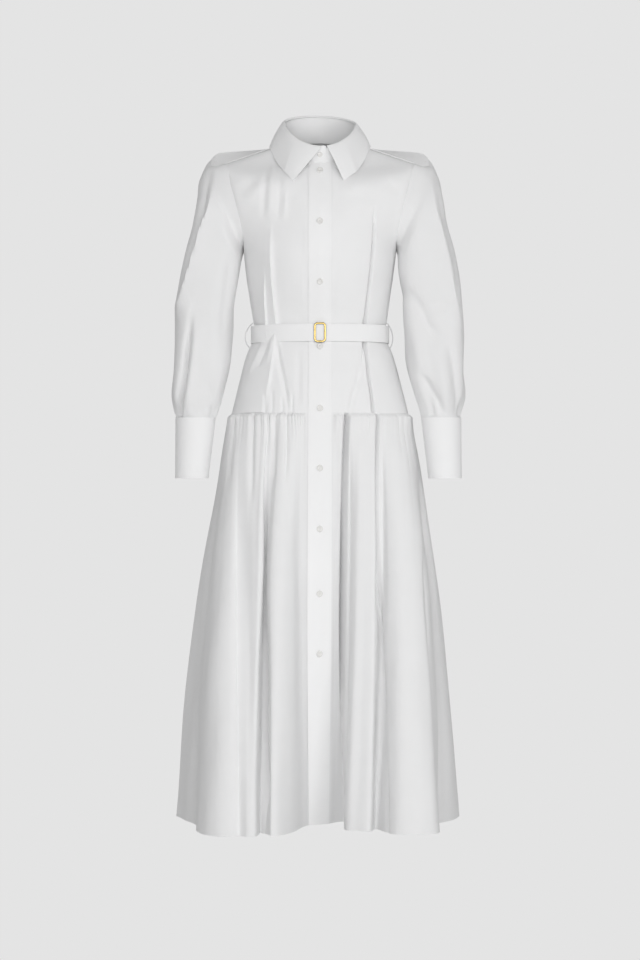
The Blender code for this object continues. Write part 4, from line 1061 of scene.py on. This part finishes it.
def standTop(angle):
    near = math.cos(math.radians(angle))
    end, side = collar["standFront"] if near > 0 else collar["standBack"], collar["standSide"]
    y = side[0] + (end[0] - side[0]) * abs(near)
    z = side[1] + (end[1] - side[1]) * abs(near) ** 1.2
    return np.array([collar["standHalfWidth"] * math.sin(math.radians(angle)), y, z])


def standTopAt(angle):  # the wearer's right side stands a little higher
    rise = collar["rightRise"] * max(0.0, -math.sin(math.radians(angle)))
    return standTop(min(angle, 360 - angle)) * (1 if angle <= 180 else -1, 1, 1) + (0, 0, rise)


def standFoot(angle):
    turn = math.radians(angle)
    side = "front" if math.cos(turn) > 0 else "back"
    foot = necklinePoints(np.array([math.asin(min(1.0, abs(math.sin(turn))))]), side)[0]
    return foot * (1 if angle <= 180 else -1, 1, 1)


def standSheet():
    angles, rows = np.linspace(0, 360, collar["standColumns"]), collar["standRows"]
    full, rate = collar["behindFade"]
    foot, top = (np.array([edge(angle) for angle in angles]) for edge in (standFoot, standTopAt))
    sheet = freshNormals(np.array([between(foot, top, s) for s in np.linspace(collar["footShare"], 1, rows)]))
    up, facing = np.linspace(0, 1, rows)[:, None], np.cos(np.radians(angles))[None]
    front = np.maximum(facing, 0) ** collar["frontSharpness"]
    behind = smoothStep(full - facing * rate) * (1 - up) ** 2
    sheet = lifted(sheet, front * collar["footOut"] * (1 - up))
    sheet[:, :, 2] -= front * collar["footDrop"] * (1 - up)
    sheet = lifted(sheet, -behind * collar["backIn"])
    sheet[:, :, 2] -= behind * collar["backDrop"]
    ends = []
    for end, sign in ((sheet[:, :1], -1), (sheet[:, -1:], 1)):
        steps = []
        for share in (0.35, 0.7, 1.0):
            step = end.copy()
            step[..., 0] = sign * collar["overlap"] * share
            step[..., 3:] = (0, -1, 0)
            if sign > 0:
                step[..., 2] += up**2 * collar["endRise"] * math.sin(math.pi * (0.25 + 0.5 * share))
            steps.append(step)
        ends.append(np.concatenate(steps[::sign], axis=1))
    sheet = np.concatenate([ends[0], sheet, ends[1]], axis=1)
    for column, share in enumerate(collar["underLap"]):
        sheet[:, column, :3] -= sheet[:, column, 3:] * collar["lapBack"] * share
    return sheet


def leafEdgeAt(angle):
    table = np.array(collar["leafEdge"])
    point = throughPoints(table[:, 0], table[:, 1:], [min(angle, 360 - angle)])[0]
    return point * (1 if angle <= 180 else -1, 1, 1)


def leafOuter(angle, start, end):
    first = collar["leafEdge"][0].angle
    last = 360 - first
    if angle < first:
        return between(np.array(collar["pointLeft"]), leafEdgeAt(first), (angle - start) / (first - start))
    if angle > last:
        return between(leafEdgeAt(last), np.array(collar["pointRight"]), (angle - last) / (end - last))
    return leafEdgeAt(angle)


def evened(moves, reach=9):  # the same moves, smoothed along the first axis, with their ends kept
    window = np.hanning(2 * reach + 1)[(...,) + (None,) * (moves.ndim - 1)]
    padded = np.concatenate([moves[:1]] * reach + [moves] + [moves[-1:]] * reach)
    return np.array([(padded[i : i + 2 * reach + 1] * window).sum(axis=0) / window.sum() for i in range(len(moves))])


def leafSheet():
    under = clothTree(["frontLeft", "frontRight", "back", "shoulderTabLeft", "shoulderTabRight"])
    width = collar["standHalfWidth"]
    start = math.degrees(math.asin(collar["leafStartX"] / width))
    end = 360 + math.degrees(math.asin(collar["leafEndX"] / width))
    angles = np.linspace(start, end, collar["leafColumns"])
    edges = np.array([leafOuter(angle, start, end) for angle in angles])
    edges += evened(np.array([laidOn(under, edge, collar["leafClear"][int(edge[0] > 0)]) for edge in edges]) - edges)
    rise, fold, gap = collar["foldRise"], collar["foldWidth"], cloth["gap"]
    shoulders, falls = [], []
    for angle, edge in zip(angles, edges):
        turn, top = math.radians(angle), standTopAt(angle % 360)
        out = np.array([math.sin(turn), -math.cos(turn), 0.0])
        turned = ((rise * 0.6, fold), (rise, fold * 0.45), (rise * 0.55, 0), (gap * 2.5, 0))
        shoulder = [top + (0, 0, up) + out * away for up, away in turned]
        shoulders.append(shoulder)
        fall = [between(shoulder[0], edge, s) + out * collar["bow"] * math.sin(math.pi * s) for s in (1, 0.72, 0.4)]
        falls.append(fall)
    falls = np.array(falls)
    hold = collar["leafHold"]
    held = np.array([[laidOn(under, point, hold, onlyNearer=True) for point in fall] for fall in falls])
    falls += evened(held - falls)
    marks, (fallRows, foldRows) = collar["leafMarks"], collar["leafRows"]
    at = np.concatenate([np.linspace(0, 0.95, fallRows), np.linspace(marks[3], marks[-1], foldRows)])
    made = [throughPoints(marks, [*fall, *shoulder], at) for fall, shoulder in zip(falls, shoulders)]
    return freshNormals(np.array(made).transpose(1, 0, 2))


for name, sheet in (("collarStand", standSheet()), ("collarLeaf", leafSheet())):
    clothPiece(name, sheet, doubledPoplin, thick=cloth["firmThick"])
print("collar made")

# belt, buckle and loops

belt = {
    "waistZ": -0.348,
    "width": 0.032,
    "wall": 0.0018,
    "rows": 13,
    "round": (2, 345, 150),
    "lap": (348, 428, 50),
    "climb": (340, 352),
}
loop = {"radius": 0.0009, "widening": 1.9, "points": 25, "sides": 10, "standsOut": {"Left": 0.008, "Right": 0.012}}
buckle = {
    "halfWidth": 0.0114,
    "halfHeight": 0.0186,
    "wire": 0.0040,
    "corner": 0.0050,
    "bar": 0.0022,
    "crest": 0.0032,
    "crestOut": 0.0009,
    "bend": 0.0006,
    "cornerPoints": 9,
    "sides": (16, 12),
}


def torsoRing(turn, z):
    turn = math.radians(turn % 360)
    table = bodice["sections"]
    half, front, back = throughPoints([s.z for s in table], [s[2:] for s in table], [z])[0]
    near = math.cos(turn)
    depth = -front if near > 0 else back
    return np.array([half * math.sin(turn), depth * abs(near) ** bodice["flatness"], z])


def beltSheet():
    turns = np.concatenate([np.linspace(*belt["round"]), np.linspace(*belt["lap"])])
    inner = cloth["gap"] * 2 + cloth["wallInFrame"] + belt["wall"]
    outer = inner + cloth["gap"] + belt["wall"]
    levels = belt["waistZ"] + belt["width"] * np.linspace(-0.5, 0.5, belt["rows"])
    rings = np.array([[torsoRing(t, z) for t in turns] for z in (levels[0], levels[-1])])
    widest = rings[np.argmax(np.abs(rings[:, :, :2]).sum(axis=2), axis=0), range(len(turns))]
    along = np.gradient(widest, axis=0)
    normals = unit(np.stack([along[:, 1], -along[:, 0], np.zeros(len(turns))], -1))
    line = widest + normals * np.interp(turns, belt["climb"], (inner, outer))[:, None]
    grid = np.repeat(line[None], belt["rows"], axis=0)
    grid[..., 2] = levels[:, None]
    return np.concatenate([grid, np.broadcast_to(normals, grid.shape)], axis=2)


clothPiece("belt", beltSheet(), doubledPoplin, thick=cloth["beltThick"])


def tubesAlong(
    name, paths, radius, sides, material, node=None, closed=False, flatten=1, across=(0, 1, 0)
):
    turns = np.linspace(0, 2 * math.pi, sides, endpoint=False)[None, :, None]
    points, faces = [], []
    for path in np.array(paths, float):
        ahead = np.roll(path, -1, axis=0) - np.roll(path, 1, axis=0) if closed else np.gradient(path, axis=0)
        side = unit(np.cross(unit(ahead), np.array(across)))
        up = np.cross(side, unit(ahead))
        spokes = np.cos(turns) * side[:, None] + flatten * np.sin(turns) * up[:, None]
        number = np.arange(len(path) * sides).reshape(len(path), sides) + len(points)
        faces += quads(closedRing(np.concatenate([number, number[:1]]) if closed else number))
        if not closed:
            faces += [number[0][::-1].tolist(), number[-1].tolist()]
        points += (path[:, None] + radius * spokes).reshape(-1, 3).tolist()
    mesh = bpy.data.meshes.new(name)
    mesh.from_pydata(points, [], faces)
    facedOutwards(mesh)
    finishPiece(name, mesh, material, node)


def buildBuckle():
    low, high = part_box("buckle")
    frontY, half, corner = low.y + buckle["wire"] / 2, buckle["wire"] / 2, buckle["corner"]
    frameSides, thinSides = buckle["sides"]
    reachX, reachZ = (buckle[side] - half - corner for side in ("halfWidth", "halfHeight"))
    path = []
    for quarter in range(4):
        signX, signZ = (1 if quarter in (0, 3) else -1), (1 if quarter in (0, 1) else -1)
        for turn in np.radians(90 * (quarter + np.linspace(0, 1, buckle["cornerPoints"]))):
            x, z = signX * reachX + corner * math.cos(turn), signZ * reachZ + corner * math.sin(turn)
            path.append((x, frontY, belt["waistZ"] + z))
    tubesAlong("buckleFrame", [path], half, frameSides, darkBrass, "buckle", closed=True)
    crest = np.array(path) - (0, buckle["crestOut"], 0)
    tubesAlong("buckleCrest", [crest], buckle["crest"] / 2, thinSides, goldMaterial, closed=True)
    top, barY, bend = buckle["halfHeight"] - half, high.y - buckle["bar"] / 4, buckle["bend"]
    upper = [(0, frontY, top), (0, (frontY + barY) / 2, top + bend), (0, barY, top - bend)]
    bar = np.array([*upper, (0, barY, 0), *[(x, y, -z) for x, y, z in upper[::-1]]]) + (0, 0, belt["waistZ"])
    tubesAlong("buckleBar", [bar], buckle["bar"] / 2, thinSides, goldMaterial)


buildBuckle()


def buildLoops():
    share, radius = np.linspace(0, 1, loop["points"]), loop["radius"]
    for side, sign in (("Left", 1), ("Right", -1)):
        node = f"belt_loop_{side.lower()}"
        low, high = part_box(node)
        reach = between(torsoRing(90, low.z)[0], torsoRing(90, high.z)[0], share) + radius
        reach += loop["standsOut"][side] * np.sin(np.pi * share).clip(0) ** 0.7
        points = np.stack([sign * reach, 0 * share, between(low.z, high.z, share)], -1)
        tubesAlong(f"beltLoop{side}", [points], radius, loop["sides"], doubledPoplin, node, flatten=loop["widening"])


buildLoops()
print("belt made")

# buttons

button = {
    "profile": (  # radius and height, from the foot round the rim to the dish
        (0.80, -1.0), (0.97, -0.45), (1.0, 0.10), (0.96, 0.62), (0.88, 0.94), (0.79, 1.0), (0.70, 0.86),
        (0.58, 0.52), (0.35, 0.36),
    ),
    "middles": (-1.0, 0.34),
    "threadPath": ((-1.0, -0.7), (-1.0, 0.25), (-0.9, 0.62), (-0.4, 0.78)),
    "segments": 40,
    "holeAt": 0.20,
    "hole": 0.095,
    "holeSegments": 14,
    "sharpAngle": 50,
    "thread": 0.00039,
    "threadSides": 7,
    "slit": (0.0009, 0.0072),
    "slitPoints": 40,
    "slitRise": 0.0002,
    "slitThread": 0.00042,
}


def unitButton():  # radius 1 and half thickness 1, facing up, with four holes through it
    sides, rows = button["segments"], len(button["profile"])
    turns = np.linspace(0, 2 * math.pi, sides, endpoint=False)
    points = [(r * math.cos(t), r * math.sin(t), z) for r, z in button["profile"] for t in turns]
    number = closedRing(np.arange(rows * sides).reshape(rows, sides))
    caps = [(len(points), b, a) for a, b in zip(number[0], number[0][1:])]
    caps += [(len(points) + 1, a, b) for a, b in zip(number[-1], number[-1][1:])]
    blank = bpy.data.meshes.new("buttonBlank")
    blank.from_pydata(points + [(0, 0, z) for z in button["middles"]], [], quads(number) + caps)
    cutter, at = bmesh.new(), button["holeAt"]
    for x, y in ((at, at), (at, -at), (-at, at), (-at, -at)):
        sizes = {"radius1": button["hole"], "radius2": button["hole"], "depth": 4.0}
        sizes["segments"] = button["holeSegments"]
        bmesh.ops.create_cone(cutter, cap_ends=True, matrix=Matrix.Translation((x, y, 0.0)), **sizes)
    holes = bpy.data.meshes.new("buttonHoles")
    cutter.to_mesh(holes)
    cutter.free()
    for mesh in (blank, holes):
        facedOutwards(mesh)
    disc, drill = shown("buttonBlank", blank), shown("buttonHoles", holes)
    cut = disc.modifiers.new("holes", "BOOLEAN")
    cut.operation, cut.solver, cut.object = "DIFFERENCE", "EXACT", drill
    made = bakedMesh(disc)
    bpy.data.objects.remove(drill)
    return made


def buttonPlace(node):  # centre, radius, half thickness, and three directions with the last one outwards
    piece = frame["nodes"][node]
    points = np.array([piece.matrix_world @ v.co for v in piece.data.vertices])
    centre = points.mean(axis=0)
    out = np.linalg.svd(points - centre, full_matrices=False)[2][2]
    facing = np.array((0, -0.3, 1.0) if "tab" in node else (0, -1.0, 0))
    if "cuff" in node:
        low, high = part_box("cuff_left" if "left" in node else "cuff_right")
        facing = (centre - np.array((low + high) / 2)) * (1, 1, 0)
    out *= np.sign(out @ facing)
    across = unit(np.cross((0, 0, 1.0) if abs(out[2]) < 0.8 else (0, -1.0, 0), out))
    deep, wide = (points - centre) @ out, np.abs((points - centre) @ across).max()
    return centre + out * (deep.max() + deep.min()) / 2, wide, np.ptp(deep) / 2, across, np.cross(out, across), out


def buildButtons():
    blank, band = unitButton(), clothTree(["buttonBand"])
    threads = [*button["threadPath"], *[(-a, b) for a, b in button["threadPath"][::-1]]]
    slitWide, slitLong = button["slit"]
    loops = []
    for node in sorted(n for n in frame["nodes"] if "button" in n and n != "button_band"):
        centre, radius, half, across, up, out = buttonPlace(node)
        mesh = blank.copy()
        mesh.transform(Matrix([[*(across * radius)], [*(up * radius)], [*(out * half)]]).transposed().to_4x4())
        mesh.transform(Matrix.Translation(centre))
        label = node.title().replace("_", "")
        label = label[0].lower() + label[1:]
        finishPiece(label, mesh, buttonMaterial, node, button["sharpAngle"])
        reach = button["holeAt"] * radius
        middles = [centre + reach * up * row for row in (-1, 1)]
        paths = [[middle + reach * across * a + out * half * b for a, b in threads] for middle in middles]
        tubesAlong(f"{label}Thread", paths, button["thread"], button["threadSides"], threadMaterial, across=up)
        if node.startswith("front"):
            turns = np.linspace(0, 2 * math.pi, button["slitPoints"], endpoint=False)
            away = slitLong * np.abs(np.sin(turns)) ** 0.5 * np.sign(np.sin(turns))
            slit = centre + np.stack([slitWide * np.cos(turns), 0 * turns, away], -1)
            loops.append([laidOn(band, point, button["slitRise"]) for point in slit])
    tubesAlong("buttonholes", loops, button["slitThread"], button["threadSides"], threadMaterial, closed=True)


buildButtons()
print("buttons made")

# edge stitching

stitch = {"pitch": 0.0030, "length": 0.0021, "thick": 0.00034, "rise": 0.00012}


def stitchGroup():
    tree = bpy.data.node_groups.new("stitchLines", "GeometryNodeTree")
    given = {"paths": "Geometry", "pitch": "Float", "length": "Float", "thick": "Float", "thread": "Material"}
    for label, kind in given.items():
        tree.interface.new_socket(label, in_out="INPUT", socket_type=f"NodeSocket{kind}")
    tree.interface.new_socket("stitches", in_out="OUTPUT", socket_type="NodeSocketGeometry")
    source, result = tree.nodes.new("NodeGroupInput").outputs, tree.nodes.new("NodeGroupOutput")

    def made(kind, links=None, **settings):
        return addNode(tree, kind, links, **settings).outputs[0]

    line = made("GeometryNodeMeshToCurve", {"Mesh": source["paths"]})
    spaced = made("GeometryNodeResampleCurve", {"Curve": line, "Length": source["pitch"]}, mode="LENGTH")
    ball = made("GeometryNodeMeshUVSphere", {"Segments": 5, "Rings": 3, "Radius": 0.5})
    turned = made("FunctionNodeAlignRotationToVector", {"Vector": made("GeometryNodeInputTangent")}, axis="Z")
    size = made("ShaderNodeCombineXYZ", {"X": source["thick"], "Y": source["thick"], "Z": source["length"]})
    placing = {"Points": spaced, "Instance": ball, "Rotation": turned, "Scale": size}
    real = made("GeometryNodeRealizeInstances", {"Geometry": made("GeometryNodeInstanceOnPoints", placing)})
    done = made("GeometryNodeSetMaterial", {"Geometry": real, "Material": source["thread"]})
    tree.links.new(done, result.inputs[0])
    return tree


def insetLine(name, border, inset):  # follows a border of the piece, this far in from it
    sheet = freshNormals(outerSheets[name])
    turned = sheet if border in ("bottom", "top") else sheet.transpose(1, 0, 2)
    turned = turned if border in ("bottom", "start") else turned[::-1]
    deep, along = arcLengths(turned, 0), arcLengths(turned, 1)
    line = []
    for column in range(turned.shape[1]):
        row = int(np.searchsorted(deep[:, column], inset))
        if row >= len(deep):
            continue
        share = (inset - deep[row - 1, column]) / (deep[row, column] - deep[row - 1, column])
        here = between(turned[row - 1, column], turned[row, column], share)
        if inset * 0.9 < along[row, column] < along[row, -1] - inset * 0.9:
            line.append(here[:3] + here[3:] * stitch["rise"])
    return line


def buildStitches(name, lines):
    points, edges = [], []
    for border, inset in lines:
        line = insetLine(name, border, inset)
        edges += [(len(points) + i, len(points) + i + 1) for i in range(len(line) - 1)]
        points += line
    mesh = bpy.data.meshes.new(f"{name}StitchPaths")
    mesh.from_pydata([tuple(p) for p in points], edges, [])
    guide = shown(f"{name}StitchPaths", mesh)
    sewn = guide.modifiers.new("stitches", "NODES")
    sewn.node_group = stitchNodes
    given = {**stitch, "thread": threadMaterial}
    for item in stitchNodes.interface.items_tree:
        if item.in_out == "INPUT" and item.name in given:
            sewn[item.identifier] = given[item.name]
    bpy.context.view_layer.update()
    made = bakedMesh(guide)
    made.name = f"{name}Stitches"
    return finishPiece(f"{name}Stitches", made, threadMaterial)


stitchLines = {
    "collarLeaf": (("bottom", 0.005), ("start", 0.005), ("end", 0.005)),
    "buttonBand": (("start", 0.0035), ("end", 0.0035)),
    "shoulderTabLeft": (("bottom", 0.0035), ("top", 0.0035), ("end", 0.0035)),
    "shoulderTabRight": (("bottom", 0.0035), ("top", 0.0035), ("start", 0.0035)),
    **{name: (("bottom", 0.004), ("top", 0.004)) for name in ("cuffLeft", "cuffRight")},
    "belt": (("bottom", 0.003), ("top", 0.003)),
    **{name: (("bottom", 0.022),) for name in ("skirtFrontLeft", "skirtFrontRight", "skirtBack")},
}
stitchNodes = stitchGroup()
stitches = {name: buildStitches(name, lines) for name, lines in stitchLines.items()}
print("stitches made")

# the cut of each piece of cloth: width, length and flat area before it was sewn

cut = namedtuple("cut", "width length area held on")
cuts = {
    "frontLeft": cut(0.270, 0.575, 0.112, "hung", ("shoulderTabLeft",)),
    "frontRight": cut(0.230, 0.575, 0.096, "hung", ("shoulderTabRight",)),
    "back": cut(0.480, 0.580, 0.211, "hung", ("frontLeft", "frontRight")),
    "sleeveLeft": cut(0.520, 0.560, 0.172, "gathered", ("frontLeft", "back")),
    "sleeveRight": cut(0.520, 0.560, 0.172, "gathered", ("frontRight", "back")),
    "cuffLeft": cut(0.255, 0.115, 0.027, "hung", ("sleeveLeft",)),
    "cuffRight": cut(0.255, 0.115, 0.027, "hung", ("sleeveRight",)),
    "skirtFrontLeft": cut(0.720, 0.790, 0.400, "gathered", ("frontLeft",)),
    "skirtFrontRight": cut(0.690, 0.795, 0.370, "gathered", ("frontRight",)),
    "skirtBack": cut(1.150, 0.780, 0.640, "gathered", ("back",)),
    "buttonBand": cut(0.044, 1.245, 0.0545, "hung", ("frontRight",)),
    "shoulderTabLeft": cut(0.137, 0.048, 0.0050, "laid", ("frontLeft", "sleeveLeft")),
    "shoulderTabRight": cut(0.137, 0.048, 0.0050, "laid", ("frontRight", "sleeveRight")),
    "collarStand": cut(0.490, 0.052, 0.0180, "hung", ("back",)),
    "collarLeaf": cut(0.575, 0.094, 0.0360, "folded", ("collarStand",)),
    "belt": cut(0.872, 0.033, 0.0280, "laid", ("frontLeft", "frontRight", "back")),
}

# camera, lights and floor

view = {"distance": 5.0, "height": -0.62, "lens": 99.7, "sensor": 36.0}
camera = shown("camera", bpy.data.cameras.new("camera"))
camera.data.lens, camera.data.sensor_width = view["lens"], view["sensor"]
camera.location = (0.0, -view["distance"], view["height"])
camera.rotation_euler = (math.pi / 2, 0.0, 0.0)
bpy.context.scene.camera = camera

studio = {
    "backdrop": 0.776,
    "roomLight": 0.553,
    "roomSlope": -0.20,
    "floorLight": 0.40,
    "floorZ": -1.75,
    "floorRadius": 14.0,
}
lights = {
    "key": {"place": (2.6, -3.5, -0.20), "aim": (0.0, 0.0, -0.55), "size": 1.5, "power": 26.0},
    "fill": {"place": (-0.8, -4.5, -0.25), "aim": (0.0, 0.0, -0.40), "size": 1.6, "power": 23.5},
    "front": {"place": (0.2, -2.5, -0.42), "aim": (0.0, 0.0, -0.45), "size": 1.4, "power": 14.6},
}


def backdropOr(tree, light):  # the camera sees the backdrop's tone, and the dress gets this light
    seen = addNode(tree, "ShaderNodeLightPath").outputs["Is Camera Ray"]
    hidden = mathNode(tree, "MULTIPLY", mathNode(tree, "SUBTRACT", 1.0, seen), light)
    return mathNode(tree, "ADD", mathNode(tree, "MULTIPLY", seen, studio["backdrop"]), hidden)


def buildStudio():
    world = bpy.data.worlds.new("studio")
    world.use_nodes = True
    tree = world.node_tree
    facing = addNode(tree, "ShaderNodeSeparateXYZ", {0: addNode(tree, "ShaderNodeTexCoord").outputs["Generated"]})
    lessAbove = mathNode(tree, "MULTIPLY", facing.outputs["Z"], studio["roomSlope"])
    strength = backdropOr(tree, mathNode(tree, "ADD", lessAbove, studio["roomLight"]))
    tree.nodes["Background"].inputs[0].default_value = (1.0, 1.0, 1.0, 1.0)
    tree.links.new(strength, tree.nodes["Background"].inputs[1])
    bpy.context.scene.world = world
    mesh = bpy.data.meshes.new("floor")
    work = bmesh.new()
    bmesh.ops.create_circle(work, cap_ends=True, segments=96, radius=studio["floorRadius"])
    work.to_mesh(mesh)
    work.free()
    floor = shown("floor", mesh)
    floor.location.z = studio["floorZ"]
    sockets = {"Emission_Color": (1.0, 1.0, 1.0, 1.0), "Specular_IOR_Level": 0.0}
    floorMaterial, tree, shader = plainMaterial("paleFloor", (0.0, 0.0, 0.0), 1.0, **sockets)
    tree.links.new(backdropOr(tree, studio["floorLight"]), shader.inputs["Emission Strength"])
    mesh.materials.append(floorMaterial)
    for name, given in lights.items():
        lamp = bpy.data.lights.new(name, "AREA")
        lamp.size, lamp.energy = given["size"], given["power"]
        stand = shown(name, lamp)
        stand.location = given["place"]
        direction = Vector(given["aim"]) - Vector(given["place"])
        stand.rotation_euler = direction.to_track_quat("-Z", "Y").to_euler()
    bpy.context.scene.view_settings.view_transform = "Standard"


buildStudio()
print("studio made")
